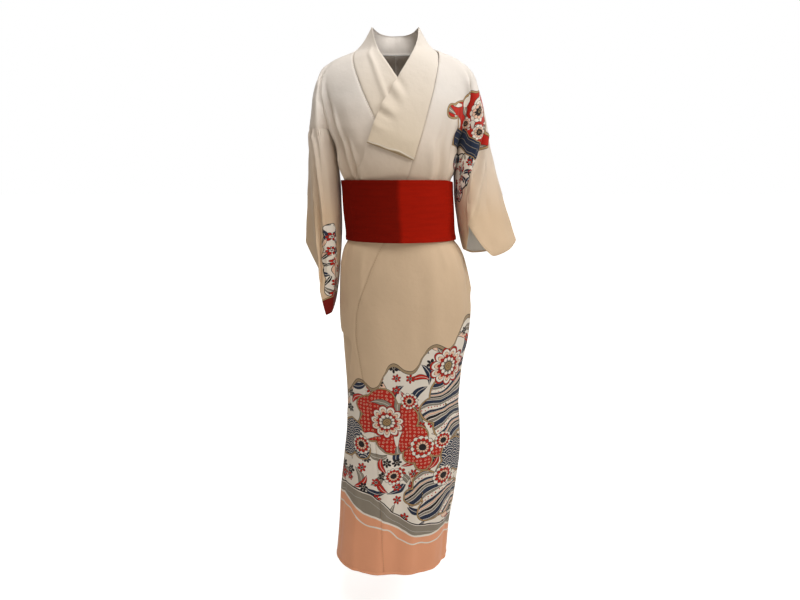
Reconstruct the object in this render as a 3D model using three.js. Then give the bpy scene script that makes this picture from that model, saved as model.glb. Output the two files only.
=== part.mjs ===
// A lined silk kimono with its plain red sash, worn: hollow, and held in the pose of an upright figure
// whose arms hang at the sides. Millimetres, +Z up. The wearer's front faces -Y and the wearer's left is +X.
// The origin is the middle of the neck at the height of the shoulders, where the wearer carries the garment.
//
// Every body panel lies on one figure surface. A place on it is (s, z): z is the height, and s runs round
// the figure from 0 at the middle of the front to +1 or -1 at the middle of the back, positive on the
// wearer's left. Panels are cut out of that surface, given a wall, and moved out where they overlap.
import * as THREE from 'three';

// ---- Driving sizes ----
const WALL = 1.6; // silk crepe with its lining
const SEAM_GAP = 0.3; // between two panels that are sewn together
const LAYER = 4.4; // how far the left front lies outside the right front under it
const LAYER_FADE = { from: 0.3, to: 0.55 }; // round the left side, where that distance falls away
const SASH_OFFSET = 9; // outer face of the sash from the figure surface
const SASH_WALL = 2.6;
const SASH_TOP = -322;
const SASH_BOTTOM = -477;
const SASH_LAP = 4.2; // the sash's outer end lies this far outside its inner end
const SASH_START = -0.95; // places of the sash's inner and outer ends, counted on past the back's middle
const SASH_END = 1.151;
const SASH_LAP_RISE = { from: 0.86, to: 1.02 }; // where it climbs over its inner end
const SASH_RIDGE = { height: 5, width: 0.045 }; // the soft fold down the middle of the sash's front
const SASH_HEIGHTS = [SASH_TOP, -360, -400, SASH_BOTTOM];
const BAND_END = -275; // where the collar band's seam ends on the overlap panel
const SLEEVE_SEAM = -195; // height where the sleeve is sewn to the body's dropped shoulder
const HEM = -1435;
const NECK_TOP = 54; // the collar's upper edge at the back of the neck
const HEM_ROLL_DROP = 9; // the lining rolls out below the hem by this much
const HEM_ROLL_OUT = 1.3;
const HEM_ROLL_WALL = 4;
const BAND_END_LIFT = 4; // the left collar band's free end lies on the overlap panel
const BAND_LAYER_DEPTHS = { from: 4, to: 60 }; // below the shoulder, where it takes up the left's layer
const BAND_LIFT_DEPTHS = { from: 130, to: 260 }; // and where it lifts off towards its free end
const LEFT_OVERLAP_TOP = -219; // the overlap panel's front edge runs up under that free end to here
const COLLAR_INSET = 0.001; // the collar's set-back from its seam, as a share round the figure
// Sleeves, and the left one's lining that shows at its cuff: thinner cloth inside its last quarter.
const WHOLE_SLEEVE = { from: 0, to: 1, steps: 8, inside: 0, wall: WALL };
const CUFF_LINING = { from: 0.75, to: 0.99, steps: 2, inside: WALL + 1.4, wall: 1.1 };

// Places round the figure where a ring's shape changes hands.
const VALLEY_AT = 0.35; // the hollow between chest and arm
const SIDE_AT = 0.5;
const LEFT_SIDE_SEAM = 0.44;
const RIGHT_SIDE_SEAM = -0.5;

// ---- The figure surface ----
// right and left: half widths; valley: half width at the hollow between chest and arm; front and back:
// depths at the middle; dip and dipBack: depths at that hollow; arm and armBack: depths of the cloth over
// the arm. Above the sleeve seam the cloth covers the arms.
const SHOULDER_ROWS = [
  {
    z: NECK_TOP, right: 58, left: 58, valley: 47, front: 50, back: 76,
    dip: 24, dipBack: 38, arm: 14, armBack: 20,
  },
  {
    z: 0, right: 98, left: 98, valley: 80, front: 52, back: 64,
    dip: 25, dipBack: 34, arm: 15, armBack: 21,
  },
  {
    z: -24, right: 154, left: 158, valley: 128, front: 64, back: 79,
    dip: 37, dipBack: 46, arm: 25, armBack: 31,
  },
  {
    z: -47, right: 186, left: 188, valley: 158, front: 75, back: 89,
    dip: 44, dipBack: 54, arm: 33, armBack: 39,
  },
  {
    z: -72, right: 200, left: 203, valley: 176, front: 86, back: 96,
    dip: 48, dipBack: 58, arm: 41, armBack: 47,
  },
  {
    z: -110, right: 212, left: 219, valley: 182, front: 100, back: 101,
    dip: 48, dipBack: 58, arm: 52, armBack: 56,
  },
  {
    z: -150, right: 219, left: 231, valley: 177, front: 112, back: 104,
    dip: 45, dipBack: 55, arm: 61, armBack: 63,
  },
  {
    z: -195, right: 227, left: 241, valley: 168, front: 120, back: 104,
    dip: 43, dipBack: 50, arm: 67, armBack: 67,
  },
];
// Below it the rings close round the trunk. centre: how far the ring stands to the left; side: its half
// width; dip and arm follow from the depths.
const TRUNK_ROWS = [
  { z: -195, centre: 0, side: 155, valley: 168, front: 120, back: 104 },
  { z: -235, centre: 1, side: 147, valley: 153, front: 125, back: 101 },
  { z: -275, centre: 3, side: 147, valley: 149, front: 123, back: 98 },
  { z: -305, centre: 4, side: 147, valley: 144, front: 115, back: 95 },
  { z: -322, centre: 3.5, side: 140.5, valley: 136.5, front: 107, back: 92 },
  { z: -400, centre: 8, side: 140, valley: 136, front: 105, back: 94 },
  { z: -477, centre: 14, side: 141, valley: 137, front: 108, back: 100 },
  { z: -500, centre: 15, side: 153, valley: 148, front: 111, back: 106 },
  { z: -537, centre: 19, side: 164, valley: 159, front: 113, back: 113 },
  { z: -600, centre: 24, side: 174, valley: 169, front: 114, back: 120 },
  { z: -665, centre: 27, side: 180, valley: 174, front: 114, back: 124 },
  { z: -745, centre: 26, side: 175, valley: 170, front: 112, back: 121 },
  { z: -820, centre: 21, side: 166, valley: 161, front: 110, back: 116 },
  { z: -920, centre: 19, side: 160, valley: 155, front: 107, back: 109 },
  { z: -1020, centre: 21, side: 162, valley: 157, front: 106, back: 105 },
  { z: -1120, centre: 15, side: 167, valley: 162, front: 108, back: 104 },
  { z: -1240, centre: 3, side: 167, valley: 162, front: 110, back: 106 },
  { z: -1340, centre: -8, side: 163, valley: 158, front: 111, back: 108 },
  { z: -1460, centre: -16, side: 166, valley: 161, front: 113, back: 111 },
];
const TRUNK_DIP = 0.36; // depth at the valley as a share of the middle's
const TRUNK_ARM = 0.18;

// A ring's outline from its middle to the valley: lateral share of the valley's x, and share of the depth.
const FLANK = [
  { x: -0.45, y: 0.935 },
  { x: 0, y: 1 },
  { x: 0.45, y: 0.935 },
  { x: 0.8, y: 0.7 },
];
const OVER_ARM = 0.55; // how far from the valley to the side the cloth over the arm is deepest

// The largest folds, as ridges (or troughs, with a negative height) that wander over the surface.
const FOLDS = [
  { fromZ: -90, toZ: -330, fromS: -0.34, toS: -0.25, height: 7, width: 0.035 },
  { fromZ: -100, toZ: -330, fromS: -0.29, toS: -0.2, height: -5, width: 0.035 },
  { fromZ: -120, toZ: -330, fromS: 0.27, toS: 0.23, height: 5, width: 0.04 },
  { fromZ: -130, toZ: -330, fromS: 0.33, toS: 0.3, height: -4, width: 0.035 },
  { fromZ: -120, toZ: -330, fromS: 0.84, toS: 0.88, height: 5, width: 0.04 },
  { fromZ: -120, toZ: -330, fromS: -0.82, toS: -0.87, height: 5, width: 0.04 },
  { fromZ: -1000, toZ: -1500, fromS: -0.05, toS: -0.06, height: 3, width: 0.05 },
  { fromZ: -1000, toZ: -1500, fromS: 0.12, toS: 0.1, height: 3, width: 0.05 },
];

const FOLD_RISE = 1.4; // a fold grows quickly from its upper end and dies slowly towards its lower one
const FOLD_FALL = 0.35;

// ---- Seams and edges, as places s on the figure surface by height ----
// The overlap panels' inner seams, and the free edges that close the front.
const LEFT_OVERLAP_ROWS = [
  { z: -219, seam: 0.09, edge: -0.105 },
  { z: -235, seam: 0.082, edge: -0.12 },
  { z: -275, seam: 0.066, edge: -0.152 },
  { z: -305, seam: 0.052, edge: -0.19 },
  { z: -322, seam: 0.042, edge: -0.215 },
  { z: -400, seam: -0.015, edge: -0.3 },
  { z: -477, seam: -0.08, edge: -0.37 },
  { z: -537, seam: -0.128, edge: -0.41 },
  { z: -600, seam: -0.17, edge: -0.42 },
  { z: -665, seam: -0.21, edge: -0.405 },
  { z: -731, seam: -0.222, edge: -0.345 },
  { z: -745, seam: -0.22, edge: -0.262 },
  { z: -820, seam: -0.2, edge: -0.285 },
  { z: -920, seam: -0.165, edge: -0.33 },
  { z: -1020, seam: -0.132, edge: -0.385 },
  { z: -1120, seam: -0.103, edge: -0.42 },
  { z: -1240, seam: -0.072, edge: -0.44 },
  { z: -1435, seam: -0.035, edge: -0.46 },
];
const RIGHT_OVERLAP_ROWS = [
  { z: -275, seam: -0.008, edge: 0.195 },
  { z: -322, seam: 0.01, edge: 0.215 },
  { z: -477, seam: 0.03, edge: 0.24 },
  { z: -665, seam: 0.03, edge: 0.25 },
  { z: -1435, seam: 0.02, edge: 0.26 },
];
// The collar band from the shoulder down the front: where its seam and its free edge lie.
const LEFT_BAND_ROWS = [
  { z: 0, seamX: 98, edgeX: 58, edgeZ: NECK_TOP },
  { z: -8, seamX: 104, edgeX: 57, edgeZ: 37 },
  { z: -24, seamX: 107, edgeX: 53, edgeZ: 15 },
  { z: -47, seamX: 105, edgeX: 43, edgeZ: -15 },
  { z: -72, seamX: 101, edgeX: 28, edgeZ: -43 },
  { z: -110, seamX: 93, edgeX: 3, edgeZ: -85 },
  { z: -150, seamX: 82, edgeX: -22, edgeZ: -126 },
  { z: -195, seamX: 69, edgeX: -43, edgeZ: -169 },
  { z: -235, seamX: 56, edgeX: -55, edgeZ: -203 },
  { z: BAND_END, seamX: 43, edgeX: -66, edgeZ: -234 },
];
const RIGHT_BAND_ROWS = [
  { z: 0, seamX: -98, edgeX: -58, edgeZ: NECK_TOP },
  { z: -8, seamX: -102, edgeX: -56, edgeZ: 37 },
  { z: -24, seamX: -105, edgeX: -50, edgeZ: 15 },
  { z: -47, seamX: -102, edgeX: -38, edgeZ: -14 },
  { z: -72, seamX: -94, edgeX: -20, edgeZ: -41 },
  { z: -110, seamX: -80, edgeX: 6, edgeZ: -80 },
  { z: -150, seamX: -62, edgeX: 34, edgeZ: -117 },
  { z: -195, seamX: -41, edgeX: 62, edgeZ: -158 },
  { z: -235, seamX: -21, edgeX: 82, edgeZ: -196 },
  { z: BAND_END, seamX: -2, edgeX: 100, edgeZ: -236 },
];

// ---- Sleeves ----
// One row for each fold round the sleeve: where it leaves the shoulder seam (over: share of the way from
// the valley to the side, 1 at the side; null where the sleeve is open towards the trunk), where it meets
// the cuff, and how far it swings in towards the trunk (bow) halfway down.
const LEFT_SLEEVE_ROWS = [
  { fold: 'outer', over: 1, x: 331, y: 4, z: -483, bow: 0 },
  { fold: 'front outer', over: 0.9, x: 303, y: -40, z: -504, bow: 0 },
  { fold: 'lowest front', over: 0.8, x: 256, y: -68, z: -517, bow: 2 },
  { fold: 'front', over: 0.7, x: 214, y: -80, z: -474, bow: 5 },
  { fold: 'front ridge', over: 0.6, x: 183, y: -84, z: -432, bow: 9 },
  { fold: 'front trough', over: 0.45, x: 190, y: -60, z: -455, bow: 13 },
  { fold: 'inner ridge', over: 0.3, x: 187, y: -40, z: -500, bow: 16 },
  { fold: 'inner front', over: null, x: 186, y: -8, z: -508, bow: 17 },
  { fold: 'inner back', over: null, x: 188, y: 28, z: -512, bow: 15 },
  { fold: 'back ridge', over: 0.3, x: 216, y: 54, z: -524, bow: 10 },
  { fold: 'back', over: 0.55, x: 262, y: 58, z: -520, bow: 4 },
  { fold: 'back outer', over: 0.8, x: 306, y: 40, z: -502, bow: 0 },
];
const RIGHT_SLEEVE_ROWS = [
  { fold: 'outer', over: 1, x: -249, y: 10, z: -490, bow: 0 },
  { fold: 'outer trough', over: 0.9, x: -227, y: -20, z: -524, bow: 0 },
  { fold: 'front ridge', over: 0.8, x: -205, y: -60, z: -556, bow: 2 },
  { fold: 'front', over: 0.7, x: -201, y: -66, z: -592, bow: 5 },
  { fold: 'low front', over: 0.6, x: -196, y: -63, z: -640, bow: 9 },
  { fold: 'tip', over: 0.45, x: -189, y: -54, z: -680, bow: 14 },
  { fold: 'inner tip', over: 0.3, x: -172, y: -44, z: -674, bow: 18 },
  { fold: 'inner front', over: null, x: -167, y: -12, z: -652, bow: 20 },
  { fold: 'inner back', over: null, x: -169, y: 28, z: -630, bow: 18 },
  { fold: 'back ridge', over: 0.3, x: -194, y: 58, z: -600, bow: 12 },
  { fold: 'back', over: 0.55, x: -222, y: 56, z: -556, bow: 5 },
  { fold: 'back outer', over: 0.8, x: -241, y: 40, z: -516, bow: 0 },
];
const INNER_OPENING_X = 167; // the sleeve's open inner edge at the top
const INNER_OPENING_Y = { front: -34, back: 36 };
const SLEEVE_EASE = 1.25; // folds deepen towards the cuff

// ---- Mesh density ----
const UPPER_HEIGHTS = [0, -8, -24, -47, -72, -110, -150, SLEEVE_SEAM];
const LOWER_HEIGHTS = [
  SLEEVE_SEAM, -235, -275, SASH_TOP, -360, -400, SASH_BOTTOM, -500, -537, -600,
  -665, -731, -745, -820, -920, -1020, -1120, -1240, -1340, HEM,
];
// A side's front and back are each made in stretches, one below the other.
const STRETCHES = [
  { part: 'chest', top: SLEEVE_SEAM, bottom: -400 },
  { part: 'hip', top: -400, bottom: -820 },
  { part: 'leg', top: -820, bottom: HEM },
];
const LATTICE_STEP = 0.05; // every panel's columns fall on the same places: layers keep their distance
const LATTICE_MARGIN = 0.012; // a column nearer than this to a panel's edge gives way to the edge
const COLLAR_COLUMNS = 4;
const SLEEVE_COLUMNS = 24;
const NEAR_S = 0.004; // steps that a surface's directions are measured over
const NEAR_Z = 2;
const NEAR_DOWN = 0.01;
const SAME_PLACE = 1e-6;

// ---- Colours ----
const IVORY = 0xd8c8b0;
const PATTERNED = 0xb9a58c;
const SALMON = 0xd39c78;
const RED = 0x8e1a0b;
const LINING = 0xb6aea0;
const CLOTH_ROUGHNESS = 0.75;

const { lerp, clamp, smoothstep } = THREE.MathUtils;

/** A column of a table at height z, by a smooth curve through its rows, which go down in z. */
function column(rows, key, z) {
  let i = 0;
  while (i < rows.length - 2 && z < rows[i + 1].z) i += 1;
  const slope = (k) => {
    const a = rows[Math.max(k - 1, 0)];
    const b = rows[Math.min(k + 1, rows.length - 1)];
    return (b[key] - a[key]) / (b.z - a.z);
  };
  const [p, q] = [rows[i], rows[i + 1]];
  const h = q.z - p.z;
  const t = clamp((z - p.z) / h, 0, 1);
  const t2 = t * t;
  const t3 = t2 * t;
  return (2 * t3 - 3 * t2 + 1) * p[key] + (t3 - 2 * t2 + t) * h * slope(i)
    + (3 * t2 - 2 * t3) * q[key] + (t3 - t2) * h * slope(i + 1);
}

/** A point at share t of a smooth curve through points; the first and last only steer its ends. */
function through(points, t) {
  const spans = points.length - 3;
  const at = clamp(t, 0, 1) * spans;
  const i = Math.min(Math.floor(at), spans - 1);
  const u = at - i;
  const [a, b, c, d] = points.slice(i, i + 4);
  const blend = (key) => 0.5 * (2 * b[key] + (c[key] - a[key]) * u
    + (2 * a[key] - 5 * b[key] + 4 * c[key] - d[key]) * u * u
    + (3 * b[key] - a[key] - 3 * c[key] + d[key]) * u * u * u);
  return { x: blend('x'), y: blend('y') };
}

/** How far the folds move the surface out at (s, z). */
function foldHeight(s, z) {
  let height = 0;
  for (const fold of FOLDS) {
    const along = (z - fold.fromZ) / (fold.toZ - fold.fromZ);
    if (along <= 0 || along >= 1) continue;
    const across = (s - lerp(fold.fromS, fold.toS, along)) / fold.width;
    const swell = Math.min(along * FOLD_RISE, 1 - along * FOLD_FALL);
    height += fold.height * Math.exp(-across * across) * Math.sin(Math.PI * swell);
  }
  return height;
}

/** The figure surface at (s, z). overArm says whether the ring covers the arms. */
function figure(s, z, overArm) {
  const rows = overArm ? SHOULDER_ROWS : TRUNK_ROWS;
  const at = (key) => column(rows, key, z);
  const sign = s < 0 ? -1 : 1;
  const isBack = Math.abs(s) > SIDE_AT;
  const q = isBack ? 1 - Math.abs(s) : Math.abs(s);
  const depth = at(isBack ? 'back' : 'front');
  const centre = overArm ? 0 : at('centre');
  const side = overArm ? at(sign < 0 ? 'right' : 'left') : at('side');
  const dip = overArm ? at(isBack ? 'dipBack' : 'dip') : depth * TRUNK_DIP;
  const arm = overArm ? at(isBack ? 'armBack' : 'arm') : depth * TRUNK_ARM;
  const valley = { x: at('valley'), y: dip };
  const mid = { x: lerp(valley.x, side, OVER_ARM), y: arm };
  const flank = FLANK.map((p) => ({ x: p.x * valley.x, y: p.y * depth }));
  const mirrored = (p) => ({ x: 2 * valley.x - p.x, y: 2 * valley.y - p.y });
  const inner = [...flank, valley, mirrored(flank[flank.length - 1])];
  const outer = [mirrored(mid), valley, mid, { x: side, y: 0 }, { x: mid.x, y: -mid.y }];
  const p = q <= VALLEY_AT
    ? through(inner, q / VALLEY_AT)
    : through(outer, (q - VALLEY_AT) / (SIDE_AT - VALLEY_AT));
  const out = 1 + foldHeight(s, z) / Math.hypot(p.x, p.y);
  return new THREE.Vector3(centre + sign * p.x * out, (isBack ? 1 : -1) * p.y * out, z);
}

/** The outward normal of the figure surface at (s, z). */
function figureNormal(s, z, overArm) {
  const rows = overArm ? SHOULDER_ROWS : TRUNK_ROWS;
  const above = Math.min(z + NEAR_Z, rows[0].z);
  const below = Math.max(z - NEAR_Z, rows[rows.length - 1].z);
  const around = figure(s + NEAR_S, z, overArm).sub(figure(s - NEAR_S, z, overArm));
  const up = figure(s, above, overArm).sub(figure(s, below, overArm));
  return around.cross(up).normalize();
}

/** The place s on the front of the ring at height z that has this x. */
function placeAt(x, z) {
  const overArm = z > SLEEVE_SEAM;
  let [low, high] = [-SIDE_AT, SIDE_AT];
  while (high - low > SAME_PLACE) {
    const mid = (low + high) / 2;
    if (figure(mid, z, overArm).x < x) low = mid;
    else high = mid;
  }
  return (low + high) / 2;
}

/** How far the left side's cloth is moved out at s: it laps over the right side in front. */
function leftLayer(s) {
  return LAYER * (1 - smoothstep(s, LAYER_FADE.from, LAYER_FADE.to));
}

/** The right side's cloth lies on the figure surface itself. */
function noLayer() {
  return 0;
}

/** Vertices and quads of an open sheet, which becomes a solid by giving each vertex its wall. */
class Sheet {
  constructor(wall) {
    this.wall = wall;
    this.vertices = [];
    this.index = new Map();
    this.quads = [];
  }

  vertex(point, normal) {
    const key = point.toArray().map((v) => v.toFixed(2)).join();
    if (!this.index.has(key)) {
      this.index.set(key, this.vertices.length);
      this.vertices.push({ outer: point, inner: point.clone().addScaledVector(normal, -this.wall) });
    }
    return this.index.get(key);
  }

  /** Adds the quads of a grid of vertex numbers, row by row. closed joins each row's end to its start. */
  grid(rows, closed = false) {
    for (let r = 0; r + 1 < rows.length; r += 1) {
      const count = rows[r].length;
      for (let c = 0; c < (closed ? count : count - 1); c += 1) {
        const next = (c + 1) % count;
        this.quads.push([rows[r][c], rows[r + 1][c], rows[r + 1][next], rows[r][next]]);
      }
    }
  }

  /** The closed solid: the outer face, the inner face turned round, and a rim along each free edge. */
  geometry() {
    const n = this.vertices.length;
    const triangles = [];
    const edges = new Map();
    for (const quad of this.quads) {
      const loop = quad.filter((v, i) => v !== quad[(i + 1) % 4]);
      if (loop.length < 3) continue;
      for (let i = 1; i + 1 < loop.length; i += 1) {
        triangles.push([loop[0], loop[i], loop[i + 1]]);
        triangles.push([loop[0] + n, loop[i + 1] + n, loop[i] + n]);
      }
      loop.forEach((a, i) => {
        const b = loop[(i + 1) % loop.length];
        edges.set(`${a},${b}`, [a, b]);
      });
    }
    for (const [a, b] of edges.values()) {
      if (edges.has(`${b},${a}`)) continue;
      triangles.push([b, a, a + n], [b, a + n, b + n]);
    }
    const points = [...this.vertices.map((v) => v.outer), ...this.vertices.map((v) => v.inner)];
    const geometry = new THREE.BufferGeometry().setFromPoints(points);
    const isInsideOut = volume(points, triangles) < 0;
    geometry.setIndex((isInsideOut ? triangles.map(([a, b, c]) => [a, c, b]) : triangles).flat());
    geometry.computeVertexNormals();
    return geometry;
  }
}

/** Six times the signed volume inside the triangles. */
function volume(points, triangles) {
  const cross = new THREE.Vector3();
  return triangles.reduce(
    (sum, [a, b, c]) => sum + points[a].dot(cross.crossVectors(points[b], points[c])),
    0,
  );
}

/** A named mesh in its own matt cloth. */
function cloth(name, geometry, colour) {
  const matt = { color: colour, roughness: CLOTH_ROUGHNESS, metalness: 0 };
  const mesh = new THREE.Mesh(geometry, new THREE.MeshStandardMaterial(matt));
  mesh.name = name;
  return mesh;
}

/** The vertex of a panel at (s, z), moved out by offset and along the surface by inset, away from a seam. */
function panelVertex(sheet, s, z, overArm, offset, inset = 0) {
  const normal = figureNormal(s, z, overArm);
  const point = figure(s, z, overArm).addScaledVector(normal, offset);
  if (inset) {
    const along = figure(s + NEAR_S, z, overArm).sub(figure(s - NEAR_S, z, overArm)).normalize();
    point.addScaledVector(along, inset);
  }
  return sheet.vertex(point, normal);
}

/** A row of panel vertices between two places, each end set back from its seam. */
function panelRow(sheet, start, end, z, overArm, offset) {
  const inset = Math.sign(end - start) * SEAM_GAP / 2;
  return places(start, end).map((s) => {
    const isTop = Math.abs(z - SLEEVE_SEAM) < 2 * SEAM_GAP;
    const isShared = isTop && Math.min(Math.abs(s), 1 - Math.abs(s)) <= VALLEY_AT + SAME_PLACE;
    const setBack = s === start ? inset : (s === end ? -inset : 0);
    return panelVertex(sheet, s, z, overArm || isShared, offset(s), setBack);
  });
}

/** Places from start to end: the lattice's columns between them, the others drawn in to the nearer end. */
function places(start, end) {
  const turn = Math.sign(end - start);
  const count = Math.round(2 / LATTICE_STEP) + 1;
  const columns = Array.from({ length: count }, (_, i) => turn * (i * LATTICE_STEP - 1));
  const inner = columns.map((s) => {
    if (turn * (s - start) < LATTICE_MARGIN) return start;
    return turn * (end - s) < LATTICE_MARGIN ? end : s;
  });
  return [start, ...inner, end];
}

/** count + 1 even places from start to end. */
function evenPlaces(start, count, end) {
  return Array.from({ length: count + 1 }, (_, i) => lerp(start, end, i / count));
}

/**
 * One side of the body: a single length of cloth from the front hem over the shoulder to the back hem. Its
 * shoulder and each stretch of its front and back are nodes of their own, so that the hollow stays open.
 */
function bodySide(name, sign, bandRows, overlapRows, sideSeam, offset) {
  const frontEdge = (z) => {
    if (z === 0) return sign * SIDE_AT;
    return z > BAND_END ? placeAt(column(bandRows, 'seamX', z), z) : column(overlapRows, 'seam', z);
  };
  const block = (part, heights, start, end, overArm) => {
    const sheet = new Sheet(WALL);
    sheet.grid(heights.map((z) => panelRow(sheet, start(z), end, z, overArm, offset)));
    return cloth(`${name}_${part}`, sheet.geometry(), IVORY);
  };
  const blocks = [block('shoulder', UPPER_HEIGHTS, frontEdge, sign, true)];
  for (const { part, top, bottom } of STRETCHES) {
    const inStretch = LOWER_HEIGHTS.filter((z) => z <= top && z >= bottom);
    const heights = inStretch.map((z) => (z === top ? z - SEAM_GAP : z));
    blocks.push(block(`front_${part}`, heights, frontEdge, sideSeam, false));
    blocks.push(block(`back_${part}`, heights, () => sideSeam, sign, false));
  }
  return blocks;
}

/** An overlap panel between its seam to the body and the free front edge; its top slants to edgeTop. */
function overlapPanel(rows, edgeTop, offset) {
  const sheet = new Sheet(WALL);
  const seam = column(rows, 'seam', BAND_END);
  const edge = column(rows, 'edge', edgeTop);
  const slant = (s) => lerp(BAND_END, edgeTop, clamp((s - seam) / (edge - seam), 0, 1));
  const row = (z) => {
    const [start, end] = [column(rows, 'seam', Math.min(z, BAND_END)), column(rows, 'edge', z)];
    return places(start, end).map((s) => {
      const inset = s === start ? Math.sign(end - start) * SEAM_GAP / 2 : 0;
      return panelVertex(sheet, s, Math.min(z, slant(s)), false, offset(s), inset);
    });
  };
  sheet.grid([edgeTop, ...LOWER_HEIGHTS.filter((z) => z < edgeTop)].map(row));
  return sheet.geometry();
}

/** The collar: one long band round the back of the neck and down both fronts. */
function collar() {
  const sheet = new Sheet(WALL);
  const vertex = (s, z, offset) => panelVertex(sheet, s, z, z > SLEEVE_SEAM, offset);
  const front = (rows, lift) => rows.map((row) => {
    const sign = Math.sign(rows[0].seamX);
    const seam = row.z === 0 ? sign * SIDE_AT : placeAt(row.seamX, row.z);
    const edge = row.z === 0 ? seam : placeAt(row.edgeX, row.edgeZ);
    const away = row.z === 0 ? 0 : Math.sign(edge - seam) * COLLAR_INSET;
    const start = row.z + (row.z === 0 ? SEAM_GAP : 0);
    return evenPlaces(seam + away, COLLAR_COLUMNS, edge).map(
      (s, i) => vertex(s, lerp(start, row.edgeZ, i / COLLAR_COLUMNS), lift(row.z)),
    );
  });
  const heights = evenPlaces(SEAM_GAP, COLLAR_COLUMNS, NECK_TOP);
  const backPlaces = [...places(-SIDE_AT, -1), ...places(1, SIDE_AT).slice(1)];
  const back = backPlaces.map((s) => heights.map((z) => vertex(s, z, 0)));
  const leftLift = (z) => LAYER * smoothstep(-z, BAND_LAYER_DEPTHS.from, BAND_LAYER_DEPTHS.to)
    + BAND_END_LIFT * smoothstep(-z, BAND_LIFT_DEPTHS.from, BAND_LIFT_DEPTHS.to);
  sheet.grid([...front(RIGHT_BAND_ROWS, noLayer).reverse(), ...back, ...front(LEFT_BAND_ROWS, leftLift)]);
  return sheet.geometry();
}

/** Where a sleeve's loop lies at its seam to the body, for one row of its folds. */
function sleeveTop(sign, row, index, rows) {
  const isBack = index > rows.length / 2;
  if (row.over === null) {
    const isFrontEdge = rows[index - 1].over !== null;
    const y = isFrontEdge ? INNER_OPENING_Y.front : INNER_OPENING_Y.back;
    return new THREE.Vector3(sign * INNER_OPENING_X, y, 0);
  }
  const q = lerp(VALLEY_AT, SIDE_AT, row.over);
  const s = sign * (isBack ? 1 - q : q);
  const layer = sign > 0 ? leftLayer(s) : 0;
  const point = figure(s, SLEEVE_SEAM, true).addScaledVector(figureNormal(s, SLEEVE_SEAM, true), layer);
  return point.setZ(0);
}

/** A point of a sleeve: round is 0 to 1 round the loop, down is 0 at the seam and 1 at the cuff. */
function sleevePoint(sign, rows, round, down) {
  const count = rows.length;
  const at = (((round % 1) + 1) % 1) * count;
  const i = Math.floor(at);
  const pick = [-1, 0, 1, 2].map((k) => (i + k + count) % count);
  const loop = (value) => through(pick.map((k) => ({ x: value(k), y: 0 })), at - i).x;
  const tops = pick.map((k) => sleeveTop(sign, rows[k], k, rows));
  const top = (key) => through(tops.map((p) => ({ x: p[key], y: 0 })), at - i).x;
  const ease = Math.pow(down, SLEEVE_EASE);
  const swing = sign * loop((k) => rows[k].bow) * 4 * down * (1 - down);
  return new THREE.Vector3(
    lerp(top('x'), loop((k) => rows[k].x), ease) - swing,
    lerp(top('y'), loop((k) => rows[k].y), ease),
    lerp(SLEEVE_SEAM - SEAM_GAP, loop((k) => rows[k].z), down),
  );
}

/** A sleeve, or its lining, as a loop of cloth between two shares of its length. */
function sleeve(sign, rows, { from, to, steps, inside, wall }) {
  const sheet = new Sheet(wall);
  const at = (round, down) => sleevePoint(sign, rows, round, down);
  const made = [];
  for (let k = 0; k <= steps; k += 1) {
    const down = lerp(from, to, k / steps);
    const loop = [];
    for (let c = 0; c < SLEEVE_COLUMNS; c += 1) {
      const round = c / SLEEVE_COLUMNS;
      const around = at(round + NEAR_S, down).sub(at(round - NEAR_S, down));
      const along = at(round, Math.min(down + NEAR_DOWN, 1)).sub(at(round, Math.max(down - NEAR_DOWN, 0)));
      const normal = around.cross(along).normalize().multiplyScalar(sign);
      loop.push(sheet.vertex(at(round, down).addScaledVector(normal, -inside), normal));
    }
    made.push(loop);
  }
  sheet.grid(made, true);
  return sheet.geometry();
}

/** The sash, wrapped once round the waist and lapped over itself at the back. */
function sash() {
  const sheet = new Sheet(SASH_WALL);
  const rows = SASH_HEIGHTS.map((z) => {
    const row = [];
    for (let turn = SASH_START; turn <= SASH_END; turn += LATTICE_STEP) {
      const s = turn > 1 ? turn - 2 : turn;
      const lap = SASH_LAP * smoothstep(turn, SASH_LAP_RISE.from, SASH_LAP_RISE.to);
      const ridge = SASH_RIDGE.height * Math.exp(-((turn / SASH_RIDGE.width) ** 2));
      const normal = figureNormal(s, z, false).setZ(0).normalize();
      const point = figure(s, z, false).addScaledVector(normal, SASH_OFFSET + lap + ridge);
      row.push(sheet.vertex(point, normal));
    }
    return row;
  });
  sheet.grid(rows);
  return sheet.geometry();
}

/** The lining's roll below the hem of one side, from the centre back round to the front edge. */
function hemRoll(from, to, offset) {
  const sheet = new Sheet(HEM_ROLL_WALL);
  const out = (s) => offset(s) + HEM_ROLL_OUT;
  sheet.grid([HEM - SEAM_GAP, HEM - HEM_ROLL_DROP].map((z) => panelRow(sheet, from, to, z, false, out)));
  return sheet.geometry();
}

const leftHemEdge = column(LEFT_OVERLAP_ROWS, 'edge', HEM);
const rightHemEdge = column(RIGHT_OVERLAP_ROWS, 'edge', HEM);

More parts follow.
